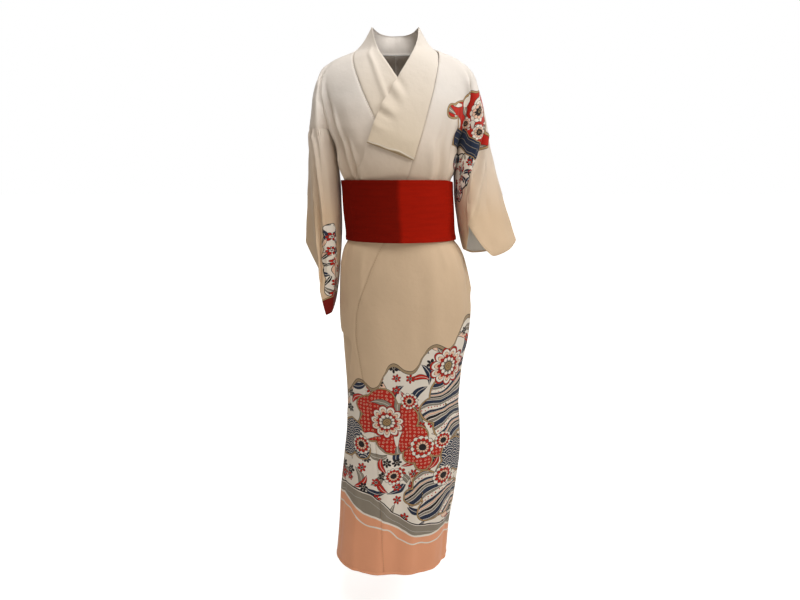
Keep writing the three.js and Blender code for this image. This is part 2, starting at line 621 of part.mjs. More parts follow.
const kimono = new THREE.Group();
kimono.add(
  ...bodySide('body_left', 1, LEFT_BAND_ROWS, LEFT_OVERLAP_ROWS, LEFT_SIDE_SEAM, leftLayer),
  ...bodySide('body_right', -1, RIGHT_BAND_ROWS, RIGHT_OVERLAP_ROWS, RIGHT_SIDE_SEAM, noLayer),
  cloth('overlap_left', overlapPanel(LEFT_OVERLAP_ROWS, LEFT_OVERLAP_TOP, () => LAYER), PATTERNED),
  cloth('overlap_right', overlapPanel(RIGHT_OVERLAP_ROWS, BAND_END, noLayer), PATTERNED),
  cloth('collar_band', collar(), IVORY),
  cloth('sleeve_left', sleeve(1, LEFT_SLEEVE_ROWS, WHOLE_SLEEVE), PATTERNED),
  cloth('sleeve_lining_left', sleeve(1, LEFT_SLEEVE_ROWS, CUFF_LINING), LINING),
  cloth('sleeve_right', sleeve(-1, RIGHT_SLEEVE_ROWS, WHOLE_SLEEVE), IVORY),
  cloth('hem_roll_left', hemRoll(1, leftHemEdge, leftLayer), SALMON),
  cloth('hem_roll_right', hemRoll(-1, rightHemEdge, noLayer), SALMON),
  cloth('sash', sash(), RED),
);
export default kimono;
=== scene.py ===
"""A lined silk kimono with its plain red sash, worn and hollow, on a pale studio floor.

Every body panel lies on one figure surface. A place on it is (s, z): z is the height in millimetres and s
runs round the figure from 0 at the middle of the front to +1 or -1 at the middle of the back, positive on
the wearer's left. Cloth carries a UV map named Cut, in metres of cloth, that the dyed designs are laid on.
"""

import logging
import math
from dataclasses import dataclass
from enum import Enum
from typing import Callable, Sequence

import bpy
import numpy as np
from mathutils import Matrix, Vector


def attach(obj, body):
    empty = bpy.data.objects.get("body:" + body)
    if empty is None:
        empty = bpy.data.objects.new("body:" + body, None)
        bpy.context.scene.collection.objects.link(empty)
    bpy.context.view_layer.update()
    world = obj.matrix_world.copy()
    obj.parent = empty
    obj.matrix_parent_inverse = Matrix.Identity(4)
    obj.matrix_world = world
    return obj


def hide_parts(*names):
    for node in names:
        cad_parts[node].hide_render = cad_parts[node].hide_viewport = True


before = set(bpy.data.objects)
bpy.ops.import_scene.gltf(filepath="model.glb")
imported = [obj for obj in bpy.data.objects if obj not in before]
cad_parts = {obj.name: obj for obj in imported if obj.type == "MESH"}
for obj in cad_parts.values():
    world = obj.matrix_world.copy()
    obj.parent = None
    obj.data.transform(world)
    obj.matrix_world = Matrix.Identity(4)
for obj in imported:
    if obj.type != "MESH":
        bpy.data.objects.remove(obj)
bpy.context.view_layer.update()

LOG = logging.getLogger("kimono")
MM = 0.001

# ---- Heights and offsets, in millimetres ----
NECK_TOP = 54.0  # the collar's top edge
SLEEVE_SEAM = -195.0  # under it the arms have left the figure
LEFT_OVERLAP_TOP = -219.0
BAND_END = -275.0  # the collar's lower end
SASH_TOP = -322.0
SASH_BOTTOM = -477.0
HEM = -1435.0
LAYER = 4.4  # how far the left front lies outside the right one
WALL = 1.5
SEAM_GAP = 0.3  # between two cloths at a seam that opens a little
CLOSED_SEAM = 0.03  # and at one that lies edge to edge
BESIDE = 2.4  # between a seam and its stitches
CREASE_SPAN = 620.0  # from s = 0 to s = 1, near enough for a crease's width
SEAM_SPAN = 640.0  # and for a seam's gap

# ---- Places s ----
SIDE = 0.5
VALLEY = 0.35  # the hollow between chest and arm
LEFT_SIDE_SEAM = 0.44
RIGHT_SIDE_SEAM = -0.5


def table(keys: str, *rows: Sequence[float]) -> dict[str, np.ndarray]:
    """A table's named columns as arrays.

    Args:
        keys: the columns' names, with spaces between them.
        rows: one sequence of values for each row.

    Returns:
        The values of each column, by its name.
    """
    return {k: np.array(v, float) for k, v in zip(keys.split(), zip(*rows))}


# side: half width; valley: half width at the hollow between chest and arm; front and back: depth at the
# middle; dip: depth at that hollow; arm: depth of the cloth over the arm.
SHOULDER = table(
    "z centre right left valley front back dip dip_back arm arm_back",
    (54, 0, 58, 58, 47, 50, 76, 24, 38, 14, 20),
    (0, 0, 98, 98, 80, 52, 64, 25, 34, 15, 21),
    (-24, 0, 154, 158, 128, 64, 79, 37, 46, 25, 31),
    (-47, 0, 186, 188, 158, 75, 89, 44, 54, 33, 39),
    (-72, 0, 200, 203, 176, 86, 96, 48, 58, 41, 47),
    (-110, 0, 212, 219, 182, 100, 101, 48, 58, 52, 56),
    (-150, 0, 219, 231, 177, 112, 104, 45, 55, 61, 63),
    (-195, 0, 227, 241, 168, 120, 104, 43, 50, 67, 67),
)
TRUNK = table(
    "z centre side valley front back",
    (-195, 0, 155, 168, 120, 104),
    (-235, 1, 147, 153, 125, 101),
    (-275, 3, 147, 149, 123, 98),
    (-305, 4, 147, 144, 115, 95),
    (-322, 3.5, 140.5, 136.5, 107, 92),
    (-400, 8, 140, 136, 105, 94),
    (-477, 14, 141, 137, 108, 100),
    (-500, 15, 153, 148, 111, 106),
    (-537, 19, 164, 159, 113, 113),
    (-600, 24, 174, 169, 114, 120),
    (-665, 27, 180, 174, 114, 124),
    (-745, 26, 175, 170, 112, 121),
    (-820, 21, 166, 161, 110, 116),
    (-920, 19, 160, 155, 107, 109),
    (-1020, 21, 162, 157, 106, 105),
    (-1120, 15, 167, 162, 108, 104),
    (-1240, 3, 167, 162, 110, 106),
    (-1340, -8, 163, 158, 111, 108),
    (-1460, -16, 166, 161, 113, 111),
)
TRUNK_DIP = 0.36  # the trunk's depth at the hollow, as a share of its depth at the middle
TRUNK_ARM = 0.18  # and beyond it
# From the middle to the hollow: shares of the hollow's half width and of the middle's depth.
FLANK = ((-0.45, 0.935), (0.0, 1.0), (0.45, 0.935), (0.8, 0.7))
OVER_ARM = 0.55  # the share of the way from the hollow to the side that lies highest

LEFT_OVERLAP = table(
    "z seam edge",
    (-219, 0.09, -0.105),
    (-235, 0.082, -0.12),
    (-275, 0.066, -0.152),
    (-305, 0.052, -0.19),
    (-322, 0.042, -0.215),
    (-400, -0.015, -0.3),
    (-477, -0.08, -0.37),
    (-537, -0.128, -0.41),
    (-600, -0.17, -0.42),
    (-665, -0.21, -0.405),
    (-731, -0.222, -0.345),
    (-745, -0.22, -0.262),
    (-820, -0.2, -0.285),
    (-920, -0.165, -0.33),
    (-1020, -0.132, -0.385),
    (-1120, -0.103, -0.42),
    (-1240, -0.072, -0.44),
    (-1435, -0.035, -0.46),
)
RIGHT_OVERLAP = table(
    "z seam edge",
    (-275, -0.008, 0.195),
    (-322, 0.01, 0.215),
    (-477, 0.03, 0.24),
    (-665, 0.03, 0.25),
    (-1435, 0.02, 0.26),
)
LEFT_BAND = table(
    "z seam_x edge_x edge_z",
    (0, 98, 58, 54),
    (-8, 104, 57, 37),
    (-24, 107, 53, 15),
    (-47, 105, 43, -15),
    (-72, 101, 28, -43),
    (-110, 93, 3, -85),
    (-150, 82, -22, -126),
    (-195, 69, -43, -169),
    (-235, 56, -55, -203),
    (-275, 43, -66, -234),
)
RIGHT_BAND = table(
    "z seam_x edge_x edge_z",
    (0, -98, -58, 54),
    (-8, -102, -56, 37),
    (-24, -105, -50, 15),
    (-47, -102, -38, -14),
    (-72, -94, -20, -41),
    (-110, -80, 6, -80),
    (-150, -62, 34, -117),
    (-195, -41, 62, -158),
    (-235, -21, 82, -196),
    (-275, -2, 100, -236),
)

# Sleeves: over is the share of the way from the valley to the side where a fold leaves the shoulder seam
# (-1 where the sleeve is open towards the trunk); x, y, z is where it meets the cuff; bow is its swing in
# halfway down; crisp is 0 where the cloth rounds softly to 1 at a pressed edge.
LEFT_SLEEVE = table(
    "over x y z bow crisp",
    (1, 331, 4, -483, 0, 0.9),
    (0.9, 303, -40, -504, 0, 0),
    (0.8, 256, -68, -517, 2, 0.5),
    (0.7, 214, -80, -474, 5, 0),
    (0.6, 183, -84, -432, 9, 1),
    (0.45, 190, -60, -455, 13, 0),
    (0.3, 187, -40, -500, 16, 0),
    (-1, 186, -8, -508, 17, 0),
    (-1, 188, 28, -512, 15, 0),
    (0.3, 216, 54, -524, 10, 0.3),
    (0.55, 262, 58, -520, 4, 0),
    (0.8, 306, 40, -502, 0, 0),
)
RIGHT_SLEEVE = table(
    "over x y z bow crisp",
    (1, -249, 10, -490, 0, 0.9),
    (0.9, -227, -20, -524, 0, 0),
    (0.8, -205, -60, -556, 2, 0.7),
    (0.7, -201, -66, -592, 5, 0),
    (0.6, -196, -63, -640, 9, 0),
    (0.45, -189, -54, -680, 14, 0.8),
    (0.3, -172, -44, -674, 18, 0.5),
    (-1, -167, -12, -652, 20, 0),
    (-1, -169, 28, -630, 18, 0),
    (0.3, -194, 58, -600, 12, 0.3),
    (0.55, -222, 56, -556, 5, 0),
    (0.8, -241, 40, -516, 0, 0),
)
INNER_OPENING_X = 167.0
INNER_OPENING_Y = (-34.0, 36.0)
SLEEVE_EASE = 1.25

# The creases of the worn cloth: from one place on the figure to another, height in millimetres (below 0 is a
# trough), width in millimetres, and sharp, the share by which one flank is steeper than the other.
CREASES = table(
    "z0 s0 z1 s1 height width sharp",
    (-50, -0.37, -335, -0.27, 9.0, 15, 0.35),
    (-80, -0.33, -335, -0.235, -9.0, 13, 0.2),
    (-130, -0.27, -335, -0.2, 7.0, 9, 0.4),
    (-190, -0.235, -335, -0.18, -7.0, 8, 0.3),
    (-215, -0.2, -335, -0.155, 5.0, 7, 0.3),
    (-240, -0.3, -335, -0.3, 5.0, 9, 0.3),
    (-35, -0.405, -150, -0.375, -5.0, 8, 0.3),
    (-110, -0.19, -260, -0.16, 2.5, 22, 0.0),
    (-55, 0.355, -210, 0.31, 7.0, 13, 0.4),
    (-80, 0.325, -300, 0.285, -7.0, 12, 0.2),
    (-120, 0.26, -335, 0.225, 7.0, 12, 0.3),
    (-150, 0.215, -335, 0.19, -6.0, 10, 0.2),
    (-215, 0.165, -335, 0.155, 4.5, 8, 0.4),
    (-250, 0.3, -335, 0.27, 4.0, 9, 0.3),
    (-28, 0.43, -125, 0.385, 4.5, 8, 0.4),
    (-38, 0.465, -140, 0.425, 4.0, 8, 0.3),
    (-32, -0.44, -105, -0.4, 4.0, 8, 0.4),
    (-42, -0.47, -120, -0.44, -3.5, 8, 0.2),
    (-120, 0.86, -335, 0.9, 6.0, 20, 0.2),
    (-150, 0.74, -335, 0.79, -5.0, 17, 0.2),
    (-110, -0.84, -335, -0.87, 6.0, 19, 0.2),
    (-160, -0.72, -335, -0.77, -5.0, 16, 0.2),
    (-180, 0.97, -335, 0.965, -4.0, 18, 0.0),
    (-468, 0.445, -640, 0.4, 6.5, 11, 0.5),
    (-468, 0.4, -575, 0.37, -5.0, 9, 0.3),
    (-468, 0.33, -620, 0.3, 3.0, 13, 0.3),
    (-468, 0.2, -560, 0.185, 2.0, 12, 0.0),
    (-468, -0.32, -560, -0.34, 2.5, 12, 0.2),
    (-470, 0.13, -780, 0.115, 2.4, 17, 0.2),
    (-470, 0.26, -720, 0.245, 2.6, 14, 0.3),
    (-500, 0.06, -800, 0.06, -2.0, 18, 0.0),
    (-470, -0.17, -650, -0.19, 2.2, 13, 0.2),
    (-540, 0.34, -760, 0.33, -2.2, 15, 0.2),
    (-468, 0.62, -640, 0.66, 4.5, 13, 0.2),
    (-468, 0.78, -600, 0.8, 3.5, 14, 0.2),
    (-468, -0.66, -640, -0.7, 4.5, 13, 0.2),
    (-468, -0.86, -610, -0.87, 3.5, 14, 0.2),
    (-640, 0.12, -1080, 0.1, 2.5, 40, 0.0),
    (-560, -0.05, -1000, -0.03, -2.0, 36, 0.0),
    (-950, -0.055, -1520, -0.06, 5.0, 17, 0.5),
    (-930, 0.095, -1520, 0.09, 5.0, 18, 0.45),
    (-1050, 0.015, -1520, 0.02, -3.5, 20, 0.0),
    (-860, 0.22, -1520, 0.2, 4.0, 20, 0.3),
    (-1080, 0.33, -1520, 0.31, -4.0, 20, 0.2),
    (-1000, -0.19, -1520, -0.2, 3.5, 16, 0.2),
    (-880, -0.3, -1520, -0.34, -3.0, 18, 0.2),
    (-900, 0.47, -1520, 0.45, 5.0, 24, 0.2),
    (-960, 0.6, -1520, 0.58, -4.5, 26, 0.2),
    (-820, 0.72, -1520, 0.71, 5.0, 26, 0.3),
    (-1000, 0.86, -1520, 0.84, -4.5, 26, 0.0),
    (-860, -0.92, -1520, -0.94, 5.0, 24, 0.3),
    (-1010, -0.8, -1520, -0.8, -4.5, 26, 0.0),
    (-900, -0.66, -1520, -0.64, 5.0, 24, 0.2),
    (-980, -0.53, -1520, -0.52, -4.0, 22, 0.0),
)
# Creases of the sleeves: down is 0 at the shoulder seam and 1 at the cuff, round is 0 to 1 round the sleeve.
LEFT_SLEEVE_CREASES = table(
    "d0 r0 d1 r1 height width",
    (0.0, 0.2, 1.1, 0.325, 11.0, 8),
    (0.0, 0.235, 1.0, 0.365, -8.5, 8),
    (0.0, 0.12, 0.7, 0.2, -4.0, 12),
    (0.05, 0.34, 0.6, 0.47, 5.0, 9),
    (0.25, 0.06, 1.1, 0.14, 4.0, 15),
    (0.5, 0.16, 1.1, 0.24, -3.0, 12),
    (0.0, 0.74, 0.9, 0.78, 6.0, 14),
    (0.1, 0.86, 1.1, 0.9, -5.0, 16),
)
RIGHT_SLEEVE_CREASES = table(
    "d0 r0 d1 r1 height width",
    (0.0, 0.13, 0.9, 0.16, 4.0, 16),
    (0.0, 0.25, 1.1, 0.3, -7.0, 12),
    (0.0, 0.33, 0.85, 0.4, 8.0, 10),
    (0.1, 0.2, 0.9, 0.24, 4.0, 8),
    (0.3, 0.2, 1.1, 0.24, 3.0, 10),
    (0.48, 0.17, 0.6, 0.44, -3.5, 7),
    (0.44, 0.2, 0.52, 0.42, 3.0, 6),
    (0.0, 0.74, 0.9, 0.76, 6.0, 14),
    (0.1, 0.88, 1.1, 0.9, -5.0, 16),
)


def column(t: dict[str, np.ndarray], key: str, z: np.ndarray) -> np.ndarray:
    """A table's column at height z, by a smooth curve through its rows.

    Args:
        t: the table, its rows going down in z.
        key: the column.
        z: heights.

    Returns:
        One value for each height.
    """
    x, y = -t["z"], t[key]
    slope = np.empty_like(y)
    slope[1:-1] = (y[2:] - y[:-2]) / (x[2:] - x[:-2])
    slope[0] = (y[1] - y[0]) / (x[1] - x[0])
    slope[-1] = (y[-1] - y[-2]) / (x[-1] - x[-2])
    at = np.clip(-np.asarray(z, float), x[0], x[-1])
    i = np.clip(np.searchsorted(x, at, side="right") - 1, 0, len(x) - 2)
    h = x[i + 1] - x[i]
    u = (at - x[i]) / h
    u2, u3 = u * u, u * u * u
    return (
        (2 * u3 - 3 * u2 + 1) * y[i]
        + (u3 - 2 * u2 + u) * h * slope[i]
        + (3 * u2 - 2 * u3) * y[i + 1]
        + (u3 - u2) * h * slope[i + 1]
    )


def through(points: Sequence[np.ndarray], t: np.ndarray) -> np.ndarray:
    """A smooth curve through points, of which the first and last only steer its ends.

    Args:
        points: arrays of one shape, at least four.
        t: share of the curve, 0 to 1.

    Returns:
        The curve's values at t.
    """
    p = np.stack([np.broadcast_to(v, np.shape(t)) for v in points])
    at = np.clip(t, 0, 1) * (len(points) - 3)
    i = np.minimum(np.floor(at).astype(int), len(points) - 4)
    u = at - i
    a, b, c, d = (np.take_along_axis(p, (i + k)[None], 0)[0] for k in range(4))
    return 0.5 * (2 * b + (c - a) * u + (2 * a - 5 * b + 4 * c - d) * u**2 + (3 * b - a - 3 * c + d) * u**3)


def through_rows(values: np.ndarray, t: np.ndarray) -> np.ndarray:
    """A smooth curve through every row of a column.

    Args:
        values: the column.
        t: share of the way down it, 0 to 1.

    Returns:
        The curve's values at t.
    """
    return through([values[0], *values, values[-1]], t)


def smooth(x: np.ndarray, low: float, high: float) -> np.ndarray:
    """A smooth step from 0 at low to 1 at high.

    Args:
        x: values.
        low: where it starts.
        high: where it ends.

    Returns:
        The step's value at each x.
    """
    t = np.clip((np.asarray(x, float) - low) / (high - low), 0, 1)
    return t * t * (3 - 2 * t)


def swell(distance: np.ndarray, height: np.ndarray | float, reach: float) -> np.ndarray:
    """A soft swelling.

    Args:
        distance: millimetres from its middle.
        height: its height there.
        reach: millimetres over which it falls away.

    Returns:
        Heights at each distance.
    """
    return height * np.exp(-((distance / reach) ** 2))


def edge_roll(distance: np.ndarray, depth: float = 1.3, reach: float = 3.2) -> np.ndarray:
    """How far a panel's edge sinks into its seam.

    Args:
        distance: millimetres from the seam.
        depth: millimetres it sinks by at the seam.
        reach: millimetres over which it rises again.

    Returns:
        Negative offsets.
    """
    return swell(distance, -depth, reach)


def ring(s: np.ndarray, z: np.ndarray, over_arm: bool) -> np.ndarray:
    """The bare figure surface at (s, z).

    Args:
        s: places round the figure.
        z: heights.
        over_arm: whether the rings cover the arms too.

    Returns:
        Points, in millimetres.
    """
    t = SHOULDER if over_arm else TRUNK
    s, z = np.broadcast_arrays(np.asarray(s, float), np.asarray(z, float))
    s = np.where(s > 1, s - 2, np.where(s < -1, s + 2, s))
    sign = np.where(s < 0, -1.0, 1.0)
    back = np.abs(s) > SIDE
    q = np.where(back, 1 - np.abs(s), np.abs(s))
    depth = np.where(back, column(t, "back", z), column(t, "front", z))
    if over_arm:
        side = np.where(sign < 0, column(t, "right", z), column(t, "left", z))
        dip = np.where(back, column(t, "dip_back", z), column(t, "dip", z))
        arm = np.where(back, column(t, "arm_back", z), column(t, "arm", z))
    else:
        side = column(t, "side", z)
        dip, arm = depth * TRUNK_DIP, depth * TRUNK_ARM
    valley = column(t, "valley", z)
    mid = valley + (side - valley) * OVER_ARM
    share = q / VALLEY
    xs = [f[0] * valley for f in FLANK]
    ys = [f[1] * depth for f in FLANK]
    x_in = through([*xs, valley, 2 * valley - xs[-1]], share)
    y_in = through([*ys, dip, 2 * dip - ys[-1]], share)
    out = (q - VALLEY) / (SIDE - VALLEY)
    x_out = through([2 * valley - mid, valley, mid, side, mid], out)
    y_out = through([2 * dip - arm, dip, arm, np.zeros_like(arm), -arm], out)
    inner = q <= VALLEY
    x, y = np.where(inner, x_in, x_out), np.where(inner, y_in, y_out)
    return np.stack([column(t, "centre", z) + sign * x, np.where(back, 1.0, -1.0) * y, z], -1)


def crease_height(s: np.ndarray, z: np.ndarray) -> np.ndarray:
    """How far the creases move the surface out at (s, z).

    Args:
        s: places round the figure.
        z: heights.

    Returns:
        Heights in millimetres.
    """
    total = np.zeros(np.broadcast(s, z).shape)
    for z0, s0, z1, s1, height, width, sharp in zip(*(CREASES[k] for k in CREASES)):
        along = (z - z0) / (z1 - z0)
        sway = 0.006 * np.sin(5.0 * along + 17.0 * s0)
        across = (s - (s0 + (s1 - s0) * along) - sway) * CREASE_SPAN / width
        across = across * np.where(across > 0, 1 + sharp, 1 - sharp)
        ends = smooth(along, 0, 0.3) * (1 - smooth(along, 0.8, 1.0))
        total += height * np.exp(-across * across) * ends
    # Slack between the creases: long shallow swells, uneven in every direction.
    slack = np.sin(9.1 * s + 0.011 * z + 1.3) * np.sin(0.017 * z - 5.3 * s)
    slack += 0.6 * np.sin(23.0 * s - 0.019 * z + 0.4) * np.sin(0.031 * z + 3.1 * s + 2.0)
    return total + 0.8 * slack


def surface(s: np.ndarray, z: np.ndarray, over_arm: bool, offset: np.ndarray | float = 0.0) -> np.ndarray:
    """Points of a cloth on the figure surface, creased and moved out by offset.

    Args:
        s: places round the figure.
        z: heights.
        over_arm: whether the rings cover the arms too.
        offset: distance outside the figure surface, in millimetres.

    Returns:
        Points, in millimetres.
    """
    ds, dz = 0.003, 2.0  # the steps that the slope is measured over
    top, bottom = (NECK_TOP, SLEEVE_SEAM) if over_arm else (SLEEVE_SEAM, TRUNK["z"][-1])
    around = ring(s + ds, z, over_arm) - ring(s - ds, z, over_arm)
    up = ring(s, np.minimum(z + dz, top), over_arm) - ring(s, np.maximum(z - dz, bottom), over_arm)
    normal = np.cross(around, up)
    normal /= np.linalg.norm(normal, axis=-1, keepdims=True)
    return ring(s, z, over_arm) + normal * (crease_height(s, z) + offset)[..., None]


def place_at(x: np.ndarray, z: np.ndarray) -> np.ndarray:
    """The place s on the front of the ring at height z that has this x.

    Args:
        x: millimetres to the wearer's left.
        z: heights.

    Returns:
        Places s.
    """
    x, z = np.broadcast_arrays(np.asarray(x, float), np.asarray(z, float))
    low, high = np.full(x.shape, -SIDE), np.full(x.shape, SIDE)
    for _ in range(30):
        mid = (low + high) / 2
        found = np.where(z > SLEEVE_SEAM, ring(mid, z, True)[..., 0], ring(mid, z, False)[..., 0])
        low, high = np.where(found < x, mid, low), np.where(found < x, high, mid)
    return (low + high) / 2


def girth(s: np.ndarray, z: np.ndarray, over_arm: bool) -> np.ndarray:
    """The length of cloth from the middle of the front to each place, signed as s is.

    Args:
        s: places round the figure, in rows of one height each.
        z: heights, as s.
        over_arm: whether the rings cover the arms too.

    Returns:
        Lengths in millimetres.
    """
    fine = np.linspace(0, 1, 121)
    out = np.empty_like(s)
    for r in range(s.shape[0]):
        for sign in (-1.0, 1.0):
            p = ring(sign * fine, np.full_like(fine, z[r].mean()), over_arm)
            run = np.concatenate([[0], np.cumsum(np.linalg.norm(np.diff(p, axis=0), axis=1))])
            part = (s[r] < 0) if sign < 0 else (s[r] >= 0)
            out[r, part] = sign * np.interp(np.abs(s[r, part]), fine, run)
    return out


def left_layer(s: np.ndarray) -> np.ndarray:
    """How far the left side's cloth lies out at s: in front it laps over the right side.

    Args:
        s: places round the figure.

    Returns:
        Distances in millimetres.
    """
    return LAYER * (1 - smooth(s, 0.3, 0.55))


def no_layer(s: np.ndarray) -> np.ndarray:
    """The right side's cloth lies on the figure surface itself.

    Args:
        s: places round the figure.

    Returns:
        Zeros.
    """
    return np.zeros_like(s)


class Sheet:
    """An open sheet of cloth built from grids, which becomes a closed thin shell."""

    def __init__(self, wall: float = WALL) -> None:
        """Starts an empty sheet.

        Args:
            wall: its thickness in millimetres.
        """
        self.wall = wall
        self.points: list[np.ndarray] = []
        self.cut: list[np.ndarray] = []
        self.quads: list[np.ndarray] = []
        self.count = 0

    def vertices(self, points: np.ndarray, cut: np.ndarray) -> np.ndarray:
        """Adds vertices.

        Args:
            points: rows and columns of points.
            cut: their places on the flat cloth, in millimetres.

        Returns:
            The vertices' numbers, in the same rows and columns.
        """
        shape = points.shape[:-1]
        n = int(np.prod(shape))
        self.points.append(points.reshape(-1, 3))
        self.cut.append(cut.reshape(-1, 2))
        self.count += n
        return np.arange(self.count - n, self.count).reshape(shape)

    def grid(self, numbers: np.ndarray) -> None:
        """Adds the faces between rows and columns of vertex numbers.

        Args:
            numbers: vertex numbers.
        """
        a, b = numbers[:-1, :-1], numbers[1:, :-1]
        c, d = numbers[1:, 1:], numbers[:-1, 1:]
        self.quads.append(np.stack([a, b, c, d], -1).reshape(-1, 4))

    def build(self, name: str, outward: float) -> bpy.types.Object:
        """Gives the sheet its wall and makes the object.

        Args:
            name: the object's name.
            outward: 1 where the faces as added point out, -1 where they point in.

        Returns:
            The new object, a closed shell with a UV map named Cut.
        """
        p = np.concatenate(self.points)
        cut = np.concatenate(self.cut)
        f = np.concatenate(self.quads)
        if outward < 0:
            f = f[:, ::-1]
        used = np.unique(f)
        renumber = np.full(len(p), -1)
        renumber[used] = np.arange(len(used))
        p, cut, f = p[used], cut[used], renumber[f]
        n = len(p)
        face_normal = np.cross(p[f[:, 2]] - p[f[:, 0]], p[f[:, 3]] - p[f[:, 1]])
        normal = np.zeros_like(p)
        for k in range(4):
            np.add.at(normal, f[:, k], face_normal)
        normal /= np.maximum(np.linalg.norm(normal, axis=1, keepdims=True), 1e-9)
        inner = p - normal * self.wall
        edges = np.concatenate([f[:, [k, (k + 1) % 4]] for k in range(4)])
        key = edges.min(1).astype(np.int64) * n + edges.max(1)
        _, first, times = np.unique(key, return_index=True, return_counts=True)
        rim = edges[first[times == 1]]
        sides = np.stack([rim[:, 1], rim[:, 0], rim[:, 0] + n, rim[:, 1] + n], 1)
        faces = np.concatenate([f, f[:, ::-1] + n, sides])
        mesh = bpy.data.meshes.new(name)
        mesh.from_pydata((np.concatenate([p, inner]) * MM).tolist(), [], faces.tolist())
        layer = mesh.uv_layers.new(name="Cut")
        loops = np.empty(len(mesh.loops), dtype=np.int32)
        mesh.loops.foreach_get("vertex_index", loops)
        both = np.concatenate([cut, cut]) * MM
        layer.data.foreach_set("uv", both[loops].astype(np.float32).ravel())
        mesh.polygons.foreach_set("use_smooth", [True] * len(mesh.polygons))
        mesh.update()
        mesh.validate()
        mesh.set_sharp_from_angle(angle=math.radians(60))
        obj = bpy.data.objects.new(name, mesh)
        bpy.context.scene.collection.objects.link(obj)
        LOG.info("%s: %d faces", name, len(faces))
        return obj


@dataclass
class BodySide:
    """One side of the body: a single length from the front hem over the shoulder to the back hem."""

    name: str
    sign: float  # 1 on the wearer's left, -1 on the right
    band: dict[str, np.ndarray]
    overlap: dict[str, np.ndarray]
    side_seam: float
    layer: Callable[[np.ndarray], np.ndarray]
    row_step: float = 7.0
    columns: tuple[int, ...] = (44, 14, 14, 40)  # front, then to the side, then to the back, then back

    def front_edge(self, z: np.ndarray) -> np.ndarray:
        """Where the panel meets the collar band and, further down, the overlap panel.

        Args:
            z: heights.

        Returns:
            Places s.
        """
        seam = place_at(np.interp(-z, -self.band["z"], self.band["seam_x"]), z)
        seam = np.where(z > -0.5, self.sign * (SIDE - 0.02), seam)
        return np.where(z > BAND_END, seam, column(self.overlap, "seam", z))

    def stop(self, z: np.ndarray, s: float) -> np.ndarray:
        """A stop at the same place on this side for every row."""
        return np.full(len(z), self.sign * s)

    def patch(
        self, sheet: Sheet, z: np.ndarray, stops: list[np.ndarray], counts: tuple[int, ...], over_arm: bool
    ) -> np.ndarray:
        """One block of the panel, sewn at its start and its end.

        Args:
            sheet: what the vertices are added to.
            z: the rows' heights.
            stops: places s for each row, at the block's start, its inner stops and its end.
            counts: columns between each two stops.
            over_arm: whether the block covers the arm.

        Returns:
            The vertices' numbers.
        """
        runs = []
        for k, count in enumerate(counts):
            t = np.linspace(0, 1, count + 1)[None, :]
            run = stops[k][:, None] * (1 - t) + stops[k + 1][:, None] * t
            runs.append(run if k == 0 else run[:, 1:])
        s = np.concatenate(runs, 1)
        zz = np.repeat(z[:, None], s.shape[1], 1)
        u = girth(s, zz, over_arm)
        offset = self.layer(s) + edge_roll(np.abs(u - u[:, :1])) + edge_roll(np.abs(u - u[:, -1:]), 0.9)
        if over_arm:
            offset = offset + edge_roll(zz - SLEEVE_SEAM, 1.2) * (np.abs(np.abs(s) - SIDE) < SIDE - VALLEY)
        nudge = np.zeros_like(s)
        nudge[:, 0] = SEAM_GAP
        nudge[:, -1] = -CLOSED_SEAM
        turn = np.sign(stops[-1][-1] - stops[0][-1])
        per_mm = np.gradient(s, axis=1) / np.maximum(np.abs(np.gradient(u, axis=1)), 1e-3)
        s = s + nudge * turn * np.abs(per_mm)
        return sheet.vertices(surface(s, zz, over_arm, offset), np.stack([u, zz], -1))

    def build(self) -> bpy.types.Object:
        """Makes the panel.

        Returns:
            The panel's object.
        """
        sheet = Sheet()
        sign = self.sign
        upper = np.concatenate([[0, -3, -7, -12, -18], np.linspace(-25, SLEEVE_SEAM, 29)])
        lower = np.linspace(SLEEVE_SEAM, HEM, int((SLEEVE_SEAM - HEM) / self.row_step))
        edge = self.front_edge(upper)
        near = np.where(np.abs(edge) > VALLEY, edge + sign * (SIDE - np.abs(edge)) * 0.5, sign * VALLEY)
        stops = [edge, near, *(self.stop(upper, s) for s in (SIDE, 1 - VALLEY, 1.0))]
        top = self.patch(sheet, upper, stops, self.columns, True)
        side = np.full(len(lower), self.side_seam)
        stops = [self.front_edge(lower), self.stop(lower, VALLEY), side]
        front = self.patch(sheet, lower, stops, self.columns[:2], False)
        stops = [side, self.stop(lower, 1 - VALLEY), self.stop(lower, 1.0)]
        back = self.patch(sheet, lower, stops, self.columns[2:], False)
        a, b, c, _ = self.columns
        front[0, : a + 1] = top[-1, : a + 1]  # under the arm the three blocks share their vertices
        back[0, c:] = top[-1, a + b + c :]
        for numbers in (top, front, back):
            sheet.grid(numbers)
        return sheet.build(self.name, sign)


